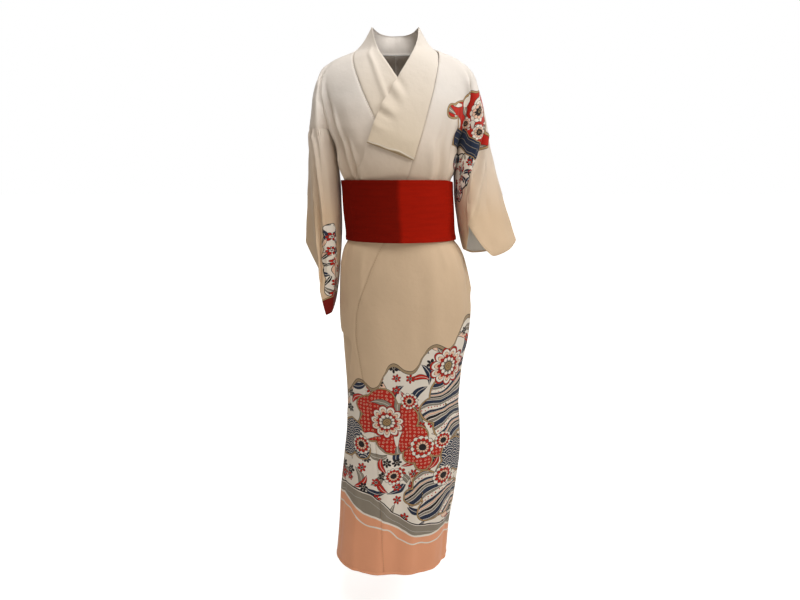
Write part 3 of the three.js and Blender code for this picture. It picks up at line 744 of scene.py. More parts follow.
@dataclass
class Overlap:
    """An overlap panel between its seam to the body and the free front edge."""

    name: str
    rows: dict[str, np.ndarray]
    edge_top: float  # the height where its free edge starts
    layer: float
    turn: float  # 1 where its faces as added point out, -1 where they point in
    slant_end: float = -331.0  # its rows slant above this height and are level below
    slant_rows: int = 12
    row_step: float = 7.0
    columns: int = 30

    def build(self) -> bpy.types.Object:
        """Makes the panel.

        Returns:
            The panel's object.
        """
        sheet = Sheet()
        t = np.linspace(0, 1, self.columns + 1)[None, :]
        start = self.slant_end - self.row_step
        level = np.linspace(start, HEM, int((start - HEM) / self.row_step))
        z_edge, z_seam = (
            np.concatenate([np.linspace(top, self.slant_end, self.slant_rows), level])
            for top in (self.edge_top, BAND_END)
        )
        zz = z_seam[:, None] * (1 - t) + z_edge[:, None] * t
        seam, edge = column(self.rows, "seam", z_seam), column(self.rows, "edge", z_edge)
        s = seam[:, None] * (1 - t) + edge[:, None] * t
        u = girth(s, zz, False)
        gap = SEAM_GAP * np.sign(s[:, 1:2] - s[:, :1]) / SEAM_SPAN
        s = s + gap * (t == 0)
        free = np.abs(u - u[:, -1:])
        sewn = edge_roll(np.abs(u - u[:, :1]))
        offset = self.layer + sewn + swell(free, 0.9, 7) + edge_roll(free, 1.0, 1.6)
        numbers = sheet.vertices(surface(s, zz, False, offset), np.stack([u, zz], -1))
        sheet.grid(numbers)
        return sheet.build(self.name, self.turn)


# Pleats that the crossing presses into the upper collar: place down the band, slant, height and breadth, in
# millimetres.
COLLAR_PLEATS = (
    (108.0, 60.0, -4.0, 6.0), (124.0, 60.0, 5.0, 7.0), (142.0, 60.0, -3.0, 6.0), (170.0, 46.0, 4.5, 8.0),
    (186.0, 40.0, -3.0, 7.0), (222.0, 30.0, 2.4, 10.0),
)


@dataclass
class Collar:
    """The collar: one long doubled band round the back of the neck and down both fronts."""

    name: str = "collar"
    columns: int = 26
    front_rows: int = 62
    back_rows: int = 46
    width: float = 108.0  # opened out over the chest
    neck_width: float = 56.0
    neck: float = 300.0  # its length round the back of the neck
    end_lift: float = 4.5
    off: float = 0.2  # how far it lies off the body panels
    wall: float = 2.2

    def rolled(self, t: np.ndarray, width: float) -> np.ndarray:
        """How far its seam and its folded edge round off."""
        return edge_roll(t * width, 1.5) + edge_roll((1 - t) * width, 1.4, 2.2)

    def front(self, sheet: Sheet, band: dict[str, np.ndarray], lap: float) -> np.ndarray:
        """One front of the band.

        Args:
            sheet: what the vertices are added to.
            band: where its seam and free edge lie.
            lap: 1 where it lies over the other front, else 0.

        Returns:
            The vertices' numbers, from the shoulder down.
        """
        k = np.linspace(0, 1, self.front_rows + 1)
        row = np.arange(len(band["z"]))
        seam_z = np.minimum(through_rows(band["z"], k), 0.0)
        seam_z[0] = SEAM_GAP
        seam = place_at(np.interp(k * row[-1], row, band["seam_x"]), seam_z)
        edge_z = through_rows(band["edge_z"], k)
        edge = place_at(through_rows(band["edge_x"], k), edge_z)
        seam[0] = edge[0] = np.sign(band["seam_x"][0]) * SIDE
        t = np.linspace(0, 1, self.columns + 1)[None, :]
        s = seam[:, None] * (1 - t) + edge[:, None] * t
        s = s + (t == 0) * np.sign(edge - seam)[:, None] * 0.0012  # a hair's breadth off the body panel
        zz = seam_z[:, None] * (1 - t) + edge_z[:, None] * t
        down = np.repeat(-seam_z[:, None], self.columns + 1, 1)
        lift = lap * (LAYER * smooth(down, 4, 60) + self.end_lift * smooth(down, 150, 262))
        roll = self.rolled(t, self.width) + swell((1 - t) * self.width, 1.0, 9)
        if lap:
            pleats = np.zeros_like(down)
            for place, slant, height, breadth in COLLAR_PLEATS:
                across = (down - place - slant * (1 - t)) / breadth
                pleats = pleats + height * np.exp(-across * across) * smooth(t, 0.5, 0.9)
            sag = swell(down - 210, 2.0, 45) * swell(t - 0.5, 1.0, 0.22)
            to_end = -BAND_END - down
            roll = roll + pleats + sag + (edge_roll(to_end, 1.6, 2.0) + swell(to_end, 1.2, 8.0))
        else:
            beside = t - 0.62 + 0.0018 * (down - 60)  # one long fold, which slants across the band
            roll = roll + swell(beside, 4.0, 0.08) * smooth(down, 20, 60)
        over = zz > SLEEVE_SEAM
        offset = lift + roll + self.off
        p = np.where(over[..., None], surface(s, zz, True, offset), surface(s, zz, False, offset))
        return sheet.vertices(p, np.stack([t * self.width + 0 * down, -(self.neck / 2 + down)], -1))

    def build(self) -> bpy.types.Object:
        """Makes the collar.

        Returns:
            The collar's object.
        """
        sheet = Sheet(self.wall)
        left = self.front(sheet, LEFT_BAND, 1.0)
        right = self.front(sheet, RIGHT_BAND, 0.0)
        turn = np.linspace(-SIDE, -3 * SIDE, self.back_rows + 1)[1:-1]
        s = np.where(turn < -1, turn + 2, turn)
        t = np.linspace(0, 1, self.columns + 1)[None, :]
        height = LEFT_BAND["edge_z"][0]
        dip = 5.0 * np.sin(np.linspace(0, math.pi, len(s)))[:, None]
        zz = SEAM_GAP * (1 - t) + (height - dip) * t
        roll = self.rolled(t, self.neck_width)
        ss = np.repeat(s[:, None], self.columns + 1, 1)
        run = (turn[:, None] + 1) * self.neck + 0 * t
        p = surface(ss, zz, True, roll + self.off)
        back = sheet.vertices(p, np.stack([t * self.neck_width + 0 * ss, run], -1))
        sheet.grid(np.concatenate([right[::-1], back, left]))
        return sheet.build(self.name, -1.0)


@dataclass
class Sleeve:
    """A sleeve: a loop of cloth hanging from the dropped shoulder to a slanting cuff."""

    name: str
    sign: float  # 1 on the wearer's left, -1 on the right
    rows: dict[str, np.ndarray]
    creases: dict[str, np.ndarray]
    layer: Callable[[np.ndarray], np.ndarray]
    start: float = 0.0  # shares of the way down from the seam to the cuff
    end: float = 1.0
    inside: float = 0.0  # how far a lining lies inside
    wall: float = WALL
    around: int = 120
    down: int = 56
    folds: tuple[tuple[float, float], ...] = ()  # shares of the way round that are too tight to line
    loop_length: float = 420.0  # millimetres round it, near enough for creases
    drop: float = 300.0  # and down it
    puckers: int = 31  # gathers round the seam

    def tops(self) -> tuple[np.ndarray, np.ndarray]:
        """Where each fold leaves the shoulder seam, and its place on the flat cloth.

        Returns:
            Points in millimetres, and lengths of cloth from the body's middle.
        """
        over = self.rows["over"]
        n = len(over)
        back = np.arange(n) > n / 2
        q = VALLEY + (SIDE - VALLEY) * over
        s = self.sign * np.where(back, 1 - q, q)
        p = surface(s, np.full(n, SLEEVE_SEAM), True, self.layer(s))
        u = np.abs(girth(s[None], np.full((1, n), SLEEVE_SEAM), True)[0])
        gap = over < 0
        p[gap] = [(self.sign * INNER_OPENING_X, y, SLEEVE_SEAM) for y in INNER_OPENING_Y]
        first = np.flatnonzero(gap)[0]
        u[first], u[first + 1] = u[first - 1] - 40, u[first + 2] + 40
        return p, u

    def loop(self, values: np.ndarray, round_: np.ndarray) -> np.ndarray:
        """A smooth closed curve through one value for each fold.

        Args:
            values: one for each fold.
            round_: share of the way round.

        Returns:
            The curve's values.
        """
        n = len(values)
        at = (round_ % 1) * n
        i = np.floor(at).astype(int)
        u = at - i
        a, b, c, d = (values[(i + k) % n] for k in (-1, 0, 1, 2))
        loose = 0.5 * (1 - self.rows["crisp"])
        leave, arrive = (c - a) * loose[i % n], (d - b) * loose[(i + 1) % n]
        u2, u3 = u * u, u * u * u
        ends = (2 * u3 - 3 * u2 + 1) * b + (3 * u2 - 2 * u3) * c
        return ends + (u3 - 2 * u2 + u) * leave + (u3 - u2) * arrive

    def point(self, round_: np.ndarray, down: np.ndarray) -> np.ndarray:
        """The bare sleeve.

        Args:
            round_: share of the way round.
            down: 0 at the seam, 1 at the cuff.

        Returns:
            Points in millimetres.
        """
        tops, _ = self.tops()
        ease = np.power(np.maximum(down, 0), SLEEVE_EASE)
        swing = self.sign * self.loop(self.rows["bow"], round_) * 4 * down * (1 - down)
        x = self.loop(tops[:, 0], round_) * (1 - ease) + self.loop(self.rows["x"], round_) * ease - swing
        y = self.loop(tops[:, 1], round_) * (1 - ease) + self.loop(self.rows["y"], round_) * ease
        z = (SLEEVE_SEAM - SEAM_GAP) * (1 - down) + self.loop(self.rows["z"], round_) * down
        return np.stack([x, y, z], -1)

    def build(self) -> bpy.types.Object:
        """Makes the sleeve.

        Returns:
            The sleeve's object.
        """
        sheet = Sheet(self.wall)
        seam = 7.5 / 12  # the sheet starts and ends between the eighth and the ninth of the twelve folds
        r = (np.linspace(0.0008, 0.9992, self.around) + seam)[None, :] * np.ones((self.down + 1, 1))
        d = np.linspace(self.start, self.end, self.down + 1)[:, None] * np.ones((1, self.around))
        p = self.point(r, d)
        around = self.point(r + 0.002, d) - self.point(r - 0.002, d)
        along = self.point(r, np.minimum(d + 0.01, 1.0)) - self.point(r, np.maximum(d - 0.01, 0.0))
        normal = np.cross(around, along) * self.sign
        normal /= np.linalg.norm(normal, axis=-1, keepdims=True)
        height = np.zeros_like(r)
        for d0, r0, d1, r1, h, width in zip(*(self.creases[k] for k in self.creases)):
            share = (d - d0) / (d1 - d0)
            across = ((r - (r0 + (r1 - r0) * share) + 0.5) % 1 - 0.5) * self.loop_length / width
            ends = 1 - smooth(share, 0.8, 1.0)
            if d0 > 0:
                ends = smooth(share, 0, 0.2) * ends
            height += h * np.exp(-across * across) * ends * smooth(d, 0.0, 0.06)
        height += 0.9 * np.sin(37 * r + 9 * d) * np.sin(14 * d + 4) * smooth(d, 0, 0.1)
        gathers = swell(d * self.drop - 9, 1.6 * np.sin(2 * math.pi * r * self.puckers), 8)
        cuff = edge_roll((self.end - d) * self.drop, 1.2, 2.0)
        height += edge_roll(d * self.drop, 1.2) + gathers + cuff
        p = p + normal * (height - self.inside)[..., None]
        _, tops = self.tops()
        u = self.loop(tops, np.clip(r, seam, seam + 1) % 1)
        numbers = sheet.vertices(p, np.stack([self.sign * u, p[..., 2]], -1))
        loose = np.ones(self.around, bool)
        for low, high in self.folds:
            loose &= (r[0] % 1 <= low) | (r[0] % 1 >= high)
        kept = np.flatnonzero(loose)
        for run in np.split(kept, np.flatnonzero(np.diff(kept) > 1) + 1):
            sheet.grid(numbers[:, run])
        return sheet.build(self.name, -self.sign)


@dataclass
class Sash:
    """The sash: a folded band wrapped once round the waist and lapped over itself at the back."""

    name: str = "obi"
    wall: float = 2.4
    offset: float = 9.0  # how far it lies outside the figure
    lap: float = 4.2  # and how much further where it laps over itself
    start: float = -0.95  # places s, counted on past the back's middle to the lapped end
    end: float = 1.15
    half_turn: float = 430.0  # millimetres of sash from the front's middle to the back's
    columns: int = 260
    rows: int = 34

    def build(self) -> bpy.types.Object:
        """Makes the sash.

        Returns:
            The sash's object.
        """
        sheet = Sheet(self.wall)
        turn = np.linspace(self.start, self.end, self.columns)[None, :]
        share = np.linspace(0, 1, self.rows)[:, None]
        s = np.where(turn > 1, turn - 2, turn) + 0 * share
        z = SASH_TOP + (SASH_BOTTOM - SASH_TOP) * share + 0 * turn
        # The upper edge sinks at the sides.
        for side, slack, reach in ((0.52, 17.0, 0.15), (-0.52, 5.0, 0.1)):
            z = z - swell(turn - side, slack, reach) * (1 - share) ** 3
        bare = ring(s, z, False)
        around = ring(s + 0.003, z, False) - ring(s - 0.003, z, False)
        normal = np.stack([around[..., 1], -around[..., 0], np.zeros_like(s)], -1)
        normal /= np.linalg.norm(normal, axis=-1, keepdims=True)
        out = self.offset + self.lap * smooth(turn, 0.86, 1.02) + 0 * share
        wander = 0.002 * np.sin(3 * share)
        ridge = 10.0 * np.exp(-np.abs((turn - 0.004 - wander) / 0.1) ** 1.1)
        flute = 0.7 * np.sin(17 * turn + 3 * share) * np.sin(math.pi * share)
        height = SASH_TOP - SASH_BOTTOM
        upper, lower = share * height, (1 - share) * height
        rim = edge_roll(upper, 1.0, 1.6) + edge_roll(lower, 1.0, 1.6)
        lip = swell(upper, 0.8, 7) + swell(lower, 1.2, 8)
        p = bare + normal * (out + ridge + flute + rim + lip)[..., None]
        numbers = sheet.vertices(p, np.stack([turn * self.half_turn + 0 * share, z], -1))
        sheet.grid(numbers)
        return sheet.build(self.name, 1.0)


@dataclass
class HemRoll:
    """The lining rolled out below the hem over its padded edge."""

    name: str
    start: float  # places s
    end: float
    layer: Callable[[np.ndarray], np.ndarray]
    turn: float  # 1 where its faces as added point out, -1 where they point in
    drop: float = 9.0
    out: float = 1.3  # how far its belly stands out
    wall: float = 3.6
    columns: int = 150
    rows: int = 8

    def build(self) -> bpy.types.Object:
        """Makes the roll.

        Returns:
            The roll's object.
        """
        sheet = Sheet(self.wall)
        t = np.linspace(0, 1, self.columns)[None, :]
        s = self.start * (1 - t) + self.end * t
        share = np.linspace(0, 1, self.rows + 1)[:, None]
        angle = share * math.pi
        z = HEM - SEAM_GAP - self.drop * share + 0 * t
        s = s + 0 * share
        u = girth(s, np.full_like(s, HEM), False)
        bulge = self.out * np.sin(angle) + 0.3 * np.sin(u * 0.21)
        numbers = sheet.vertices(surface(s, z, False, self.layer(s) + bulge), np.stack([u, z], -1))
        sheet.grid(numbers)
        return sheet.build(self.name, self.turn)


# ---- Materials ----


def srgb(code: str) -> tuple[float, float, float, float]:
    """A colour as Cycles wants it.

    Args:
        code: six hex digits of an sRGB colour.

    Returns:
        Linear red, green, blue and alpha.
    """
    parts = [int(code[i : i + 2], 16) / 255 for i in (0, 2, 4)]
    linear = [c / 12.92 if c <= 0.04045 else ((c + 0.055) / 1.055) ** 2.4 for c in parts]
    return (*linear, 1.0)


def add(tree: bpy.types.NodeTree, kind: str, inputs: dict | None = None, **settings) -> bpy.types.Node:
    """Adds a node with its settings and links.

    Args:
        tree: the node tree.
        kind: the node's type.
        inputs: values, Fields or sockets for the node's inputs, by name or number.
        settings: the node's own properties.

    Returns:
        The new node.
    """
    node = tree.nodes.new(kind)
    for key, value in settings.items():
        setattr(node, key, value)
    for key, value in (inputs or {}).items():
        value = value.socket if isinstance(value, Field) else value
        if isinstance(value, bpy.types.NodeSocket):
            tree.links.new(value, node.inputs[key])
        else:
            node.inputs[key].default_value = value
    return node


class Field:
    """A number that varies over the cloth: a socket of a node tree, with arithmetic."""

    def __init__(self, tree: bpy.types.NodeTree, socket: bpy.types.NodeSocket) -> None:
        """Wraps a socket.

        Args:
            tree: the socket's node tree.
            socket: an output.
        """
        self.tree, self.socket = tree, socket

    def op(self, name: str, *others: "Field | float", clamp: bool = False) -> "Field":
        """This number put through one step of arithmetic.

        Args:
            name: the Math node's operation.
            others: its other operands.
            clamp: whether the result is held to 0 to 1.

        Returns:
            The result.
        """
        inputs = dict(enumerate((self, *others)))
        node = add(self.tree, "ShaderNodeMath", inputs, operation=name, use_clamp=clamp)
        return Field(self.tree, node.outputs[0])

    def __add__(self, other: "Field | float") -> "Field":
        """The sum."""
        return self.op("ADD", other)

    def __sub__(self, other: "Field | float") -> "Field":
        """The difference."""
        return self.op("SUBTRACT", other)

    def __mul__(self, other: "Field | float") -> "Field":
        """The product."""
        return self.op("MULTIPLY", other)

    def __abs__(self) -> "Field":
        """The size without its sign."""
        return self.op("ABSOLUTE")

    def inside(self, soft: float = 0.5) -> "Field":
        """A mask from a distance in millimetres.

        Args:
            soft: millimetres over which the dye's edge fades.

        Returns:
            1 where this distance is below 0, else 0.
        """
        return self.op("MULTIPLY_ADD", -1.0 / soft, 0.5, clamp=True)

    def line(self, width: float) -> "Field":
        """A mask of the line where this distance is 0.

        Args:
            width: the line's width in millimetres.

        Returns:
            1 on the line, else 0.
        """
        return (abs(self) - width / 2).inside()


class Silk(Enum):
    """The dyes of the garment and the painted shade laid on it, as sRGB hex."""

    IVORY = "e4ddd5"
    # The next two are painted shade: the darker, warmer colours that the cloth turns to lower down.
    SHADED_TAN = "dabf9f"
    SHADED_CREAM = "dccbb2"
    PALE = "ece3d6"
    GOLD = "b08f62"
    TAUPE = "a08a6c"
    RED = "bc2213"
    DEEP_RED = "a01603"
    # DARK_RED is also the painted shade over the sash's right half.
    DARK_RED = "7a0f02"
    NAVY = "232e45"
    BLACK = "221d1f"
    GREY = "8f8678"
    LIGHT_GREY = "cfcac2"
    PEARL = "f0ede6"
    SALMON = "eda67f"
    PINK = "ecc3a8"


DRAWN = (640.0, -1500.0, 0.0)  # edges are drawn this far to both sides, between these two heights
LOBE_BLEND = 6.0  # millimetres over which a cloud's lobes run together


@dataclass
class Dye:
    """Colours laid one over another on a piece of silk, in its own flat millimetres."""

    tree: bpy.types.NodeTree
    colour: bpy.types.NodeSocket
    x: Field
    y: Field

    def paint(self, mask: Field, colour: Silk) -> None:
        """Lays a colour over a place: dyes, and also painted shade and highlight.

        Args:
            mask: 1 where the dye goes.
            colour: its colour.
        """
        inputs = {0: mask, 6: self.colour, 7: srgb(colour.value)}
        self.colour = add(self.tree, "ShaderNodeMix", inputs, data_type="RGBA").outputs[2]

    def distance(self, cx: float, cy: float, radius: float) -> Field:
        """Distance outside a circle.

        Args:
            cx: the circle's centre across.
            cy: and up.
            radius: its radius.

        Returns:
            Millimetres, below 0 inside.
        """
        return self.length(self.x - cx, self.y - cy) - radius

    def length(self, a: Field, b: Field) -> Field:
        """The length of (a, b).

        Args:
            a: across.
            b: up.

        Returns:
            The length.
        """
        pair = add(self.tree, "ShaderNodeCombineXYZ", {0: a, 1: b})
        node = add(self.tree, "ShaderNodeVectorMath", {0: pair.outputs[0]}, operation="LENGTH")
        return Field(self.tree, node.outputs[1])

    def cloud(self, circles: Sequence[tuple[float, float, float]]) -> Field:
        """Distance outside a lobed cloud.

        Args:
            circles: each lobe's centre and radius.

        Returns:
            Millimetres, below 0 inside.
        """
        found = self.distance(*circles[0])
        for circle in circles[1:]:
            found = found.op("SMOOTH_MIN", self.distance(*circle), LOBE_BLEND)
        return found

    def edge(self, points: Sequence[tuple[float, float]]) -> Field:
        """Distance above a drawn edge that runs across the cloth.

        Args:
            points: places along the edge, left to right.

        Returns:
            Millimetres, below 0 under the edge.
        """
        reach, low, high = DRAWN
        share = self.x.op("MULTIPLY_ADD", 0.5 / reach, 0.5)
        node = add(self.tree, "ShaderNodeFloatCurve", {1: share})
        curve = node.mapping.curves[0]
        placed = [((x / reach + 1) / 2, (y - low) / (high - low)) for x, y in points]
        curve.points[0].location, curve.points[1].location = placed[0], placed[-1]
        for place in placed[1:-1]:
            curve.points.new(*place)
        node.mapping.update()
        height = Field(self.tree, node.outputs[0]).op("MULTIPLY_ADD", high - low, low)
        return self.y - height

    def scatter(self, cell: float, shift: float, loose: float) -> tuple[Field, Field, Field, Field]:
        """Places strewn over the cloth, one to a cell.

        Args:
            cell: the cells' size in millimetres.
            shift: what sets one strewing apart from another.
            loose: 0 for a plain grid to 1 for fully strewn.

        Returns:
            Across and up from the nearest place, and two random numbers of its own.
        """
        at = add(self.tree, "ShaderNodeCombineXYZ", {0: self.x + shift, 1: self.y + shift * 0.37})
        inputs = {"Vector": at.outputs[0], "Scale": 1.0 / cell, "Randomness": loose}
        node = add(self.tree, "ShaderNodeTexVoronoi", inputs, voronoi_dimensions="2D")
        inputs = {0: at.outputs[0], 1: node.outputs["Position"]}
        away = add(self.tree, "ShaderNodeVectorMath", inputs, operation="SUBTRACT")
        local = add(self.tree, "ShaderNodeSeparateXYZ", {0: away.outputs[0]})
        luck = add(self.tree, "ShaderNodeSeparateColor", {0: node.outputs["Color"]})
        return tuple(Field(self.tree, node.outputs[k]) for node in (local, luck) for k in (0, 1))

    def nearest(self, places: Sequence[tuple[float, float, float]], size: float) -> tuple[Field, Field]:
        """The way from the nearest of some places, as if each were of one size.

        Args:
            places: each place's x, y and radius in millimetres.
            size: the radius that each is scaled to.

        Returns:
            Across and up.
        """
        here = add(self.tree, "ShaderNodeCombineXYZ", {0: self.x, 1: self.y}).outputs[0]
        best: Field | None = None
        way = None
        for x, y, radius in places:
            share = size / radius
            inputs = {0: here, 1: (share, share, 1.0), 2: (-x * share, -y * share, 0.0)}
            local = add(self.tree, "ShaderNodeVectorMath", inputs, operation="MULTIPLY_ADD").outputs[0]
            size_of = add(self.tree, "ShaderNodeVectorMath", {0: local}, operation="LENGTH")
            far = Field(self.tree, size_of.outputs[1])
            if best is None:
                best, way = far, local
                continue
            inputs = {0: far.op("LESS_THAN", best), 4: way, 5: local}
            way = add(self.tree, "ShaderNodeMix", inputs, data_type="VECTOR").outputs[1]
            best = best.op("MINIMUM", far)
        part = add(self.tree, "ShaderNodeSeparateXYZ", {0: way})
        return Field(self.tree, part.outputs[0]), Field(self.tree, part.outputs[1])

    def flower(
        self,
        a: Field,
        b: Field,
        turn: Field | float,
        radius: float,
        petals: int,
        rings: Sequence[tuple[float, float, float, Silk]],
        within: Field | None = None,
        outline: Silk = Silk.BLACK,
        line: float = 1.2,
    ) -> None:
        """A round flower of one or more rings of petals.

        Args:
            a: across from its middle.
            b: up from its middle.
            turn: how far it is turned, in petals.
            radius: its radius in millimetres.
            petals: petals to a ring.
            rings: for each ring, from outside in: its share of the radius, how deep its petals are cut, how
                far it is turned in petals, its colour.
            within: a mask that holds it in, or None.
            outline: the colour of the petals' outlines.
            line: the outlines' width in millimetres.
        """
        r = self.length(a, b)
        petal = b.op("ARCTAN2", a) * (petals / math.tau) + turn
        for share, depth, phase, colour in rings:
            across = abs((petal + phase).op("FRACT") - 0.5) * 2.0
            drop = (across * across).op("MULTIPLY_ADD", radius * share * depth, -radius * share)
            edge = r + drop
            inside = edge.inside()
            rim = edge.line(line)
            half = math.pi / petals  # the angle from a petal's middle to its side
            rib = (across.op("MULTIPLY_ADD", -half, half) * r - line * 0.45).inside()
            rim = rim.op("MAXIMUM", rib * inside)
            if within is not None:
                inside, rim = inside * within, rim * within
            self.paint(inside, colour)
            self.paint(rim, outline)

    def great_blossom(self, places: Sequence[tuple[float, float, float]], within: Field) -> None:
        """Broad blossoms of a few outlined petals round a spotted heart.

        Args:
            places: each one's x, y and radius in millimetres.
            within: a mask that holds them in.
        """
        size, heart_size = 50.0, 11.0  # as drawn, before each is scaled to its radius
        a, b = self.nearest(places, size)
        rings = (
            (1.0, 0.2, 0.0, Silk.RED), (0.91, 0.22, 0.0, Silk.PALE), (0.76, 0.4, 0.0, Silk.PINK),
            (0.6, 0.5, 0.0, Silk.RED), (0.52, 0.2, 0.5, Silk.RED), (0.45, 0.22, 0.5, Silk.PALE),
            (0.3, 0.25, 0.0, Silk.GREY),
        )
        self.flower(a, b, 0.3, size, 11, rings, within)
        heart = self.length(a, b)
        self.paint((heart - heart_size).inside() * within, Silk.GOLD)
        self.paint((heart - heart_size).line(1.6) * within, Silk.BLACK)
        hoops = (heart.op("WRAP", 3.6, 0.0) - 1.8).line(1.2) * (heart - 9.0).inside()
        self.paint(hoops * within, Silk.BLACK)

    def leaves(
        self, cell: float, shift: float, length: float, width: float, hues: tuple[Silk, Silk], within: Field
    ) -> None:
        """Pointed leaves strewn at every angle, each with a pale midrib.

        Args:
            cell: the strewing's cell in millimetres.
            shift: what sets it apart from another strewing.
            length: a leaf's half length.
            width: a leaf's half width.
            hues: the two colours, one or the other to a leaf.
            within: a mask that holds them in.
        """
        a, b, luck, other = self.scatter(cell, shift, 0.8)
        angle = luck * math.tau
        cos, sin = angle.op("COSINE"), angle.op("SINE")
        along = a * cos + b * sin
        across = abs(b * cos - a * sin + along * along * (0.35 / length))  # the midrib bends a little
        round_ = (length * length + width * width) / (2 * width)
        edge = self.length(along, across + (round_ - width)) - round_
        inside = edge.inside() * within
        self.paint(inside, hues[0])
        self.paint(inside * other.op("GREATER_THAN", 0.5), hues[1])
        self.paint((across - 0.6).inside() * inside, Silk.PALE)
        self.paint(edge.line(1.2) * within, Silk.BLACK)

    def waves(self, mask: Field) -> None:
        """The overlapping wave pattern, in pale arcs on navy.

        Args:
            mask: where it goes.
        """
        size = 44.0  # a wave's width in millimetres
        self.paint(mask, Silk.NAVY)
        layer = self.y.op("DIVIDE", size / 4).op("FLOOR")
        for k in (0.0, 1.0):  # each row of waves laps over the row above it
            n = layer - k
            shift = (n * 0.5).op("FRACT") * size
            a = (self.x + shift).op("WRAP", size / 2, -size / 2)
            r = self.length(a, self.y - n * (size / 4))
            disc = (r - size / 2).inside() * mask
            arcs = (r.op("MODULO", size / 6) - size / 12).line(size / 26)
            self.paint(disc, Silk.NAVY)
            self.paint(arcs * disc, Silk.PALE)

    def streams(self, mask: Field) -> None:
        """Running water in stripes of navy, black, ivory, grey and pink.

        Args:
            mask: where it goes.
        """
        ripple = (self.x * (1 / 13)).op("SINE") * 4.0
        sway = ripple + (self.x * (1 / 41) + self.y * (1 / 33)).op("SINE") * 11.0
        across = (self.y - self.x * 0.38 + sway).op("WRAP", STREAM / 2, -STREAM / 2)
        self.paint(mask, Silk.PALE)
        for middle, width, colour in STRIPES:
            edge = abs(across - middle) - width / 2
            self.paint(edge.inside() * mask, colour)
            self.paint(edge.line(0.9) * mask, Silk.BLACK)
        a, b, *_ = self.scatter(9.0, 5.0, 0.2)
        dots = (self.length(a, b) - 2.0).inside() * (abs(across - 19.5) - 4.0).inside()
        self.paint(dots * mask, Silk.RED)

    def dapple(self, mask: Field) -> None:
        """Red spotted with small pale rings, as tie-dyed silk is.

        Args:
            mask: where it goes.
        """
        self.paint(mask, Silk.RED)
        a, b, *_ = self.scatter(10.5, 3.0, 0.25)
        self.paint((self.length(a, b) - 2.2).line(0.9) * mask, Silk.PINK)

    def bordered(self, edge: Field, within: Field | None = None, width: float = 3.4) -> None:
        """Gold paste along an edge, with fine dark lines beside it.

        Args:
            edge: distance from the edge.
            within: a mask that holds it in, or None.
            width: the paste's width in millimetres.
        """
        for breadth, colour in ((width + 1.8, Silk.BLACK), (width, Silk.GOLD)):
            line = edge.line(breadth)
            self.paint(line if within is None else line * within, colour)


def shaded_base_cloth(tree: bpy.types.NodeTree, high: Silk, low: Silk) -> Dye:
    """Undyed silk with painted shade, darker and warmer towards the hem, ready to be dyed by hand.

    Args:
        tree: the material's node tree.
        high: the colour at the shoulder.
        low: the colour at the hem, painted shade.

    Returns:
        The dye to paint with.
    """
    uv = add(tree, "ShaderNodeUVMap", uv_map="Cut")
    # The hand wavers: every drawn edge wanders by up to 3 mm over about 45 mm.
    waver = add(tree, "ShaderNodeTexNoise", {"Vector": uv.outputs[0], "Scale": 1 / 0.045, "Detail": 1.0})
    moved = {0: waver.outputs["Color"], 1: (0.012, 0.012, 0.0), 2: (-0.006, -0.006, 0.0)}
    drift = add(tree, "ShaderNodeVectorMath", moved, operation="MULTIPLY_ADD")
    drawn = add(tree, "ShaderNodeVectorMath", {0: uv.outputs[0], 1: drift.outputs[0]}, operation="ADD")
    part = add(tree, "ShaderNodeSeparateXYZ", {0: drawn.outputs[0]})
    x = Field(tree, part.outputs[0]) * (1 / MM)
    y = Field(tree, part.outputs[1]) * (1 / MM)
    # The painted shade, a tan, begins 114 mm below the shoulder and is full 300 mm further down.
    down = y.op("MULTIPLY_ADD", -1 / 300.0, -114.0 / 300.0, clamp=True)
    node = add(tree, "ShaderNodeMix", {0: down, 6: srgb(high.value), 7: srgb(low.value)}, data_type="RGBA")
    return Dye(tree, node.outputs[2], x, y)


STREAM = 66.0  # a stream's width, after which its stripes come again
# Its stripes: where each lies across it, its width and its dye.
STRIPES = (
    (-27.0, 12.0, Silk.NAVY), (-15.5, 5.0, Silk.GREY), (-7.0, 6.0, Silk.BLACK), (1.5, 5.5, Silk.PINK),
    (9.5, 6.5, Silk.NAVY), (28.5, 5.0, Silk.GREY),
)

# Places on the flat cloth: across from the middle of the front, positive to the wearer's left, then height,
# and for a lobe or a flower its radius.
SKIRT_TOP = (
    (-640, -690), (-465, -690), (-400, -745), (-330, -752), (-250, -850), (-180, -900), (-120, -850),
    (-80, -872), (-30, -800), (22, -818), (70, -748), (124, -760), (172, -682), (250, -700), (320, -655),
    (390, -690), (465, -690), (640, -690),
)
WATER_TOP = (
    (-640, -1225), (-445, -1225), (-370, -1195), (-260, -1228), (-190, -1184), (-120, -1182), (-60, -1200),
    (0, -1250), (52, -1276), (112, -1290), (175, -1290), (250, -1250), (350, -1262), (445, -1225),
    (640, -1225),
)
HEM_TOP = (
    (-640, -1300), (-445, -1300), (-370, -1262), (-280, -1290), (-200, -1220), (-150, -1222), (-100, -1252),
    (-40, -1266), (20, -1300), (84, -1322), (150, -1314), (230, -1335), (340, -1290), (445, -1300),
    (640, -1300),
)
RED_CLOUDS = (
    ((-100, -925, 30), (-58, -912, 40), (0, -955, 42), (-84, -985, 44), (-26, -1015, 48), (34, -1010, 34)),
    ((26, -1062, 26), (58, -1088, 24), (96, -1050, 26)),
    ((-330, -900, 52), (-280, -940, 48), (-360, -960, 50), (-310, -1000, 44)),
    ((330, -860, 54), (385, -900, 50), (340, -930, 52)),
)
STREAM_CLOUDS = (
    ((110, -885, 40), (160, -890, 54), (84, -935, 38), (134, -980, 52), (190, -960, 64)),
    ((66, -1148, 34), (110, -1190, 46), (40, -1190, 26), (150, -1215, 50), (92, -1238, 36)),
    ((-410, -1010, 46), (-455, -1050, 60), (-390, -1080, 46)),
    ((400, -1010, 46), (455, -1050, 60), (360, -1080, 50), (300, -1050, 40)),
)
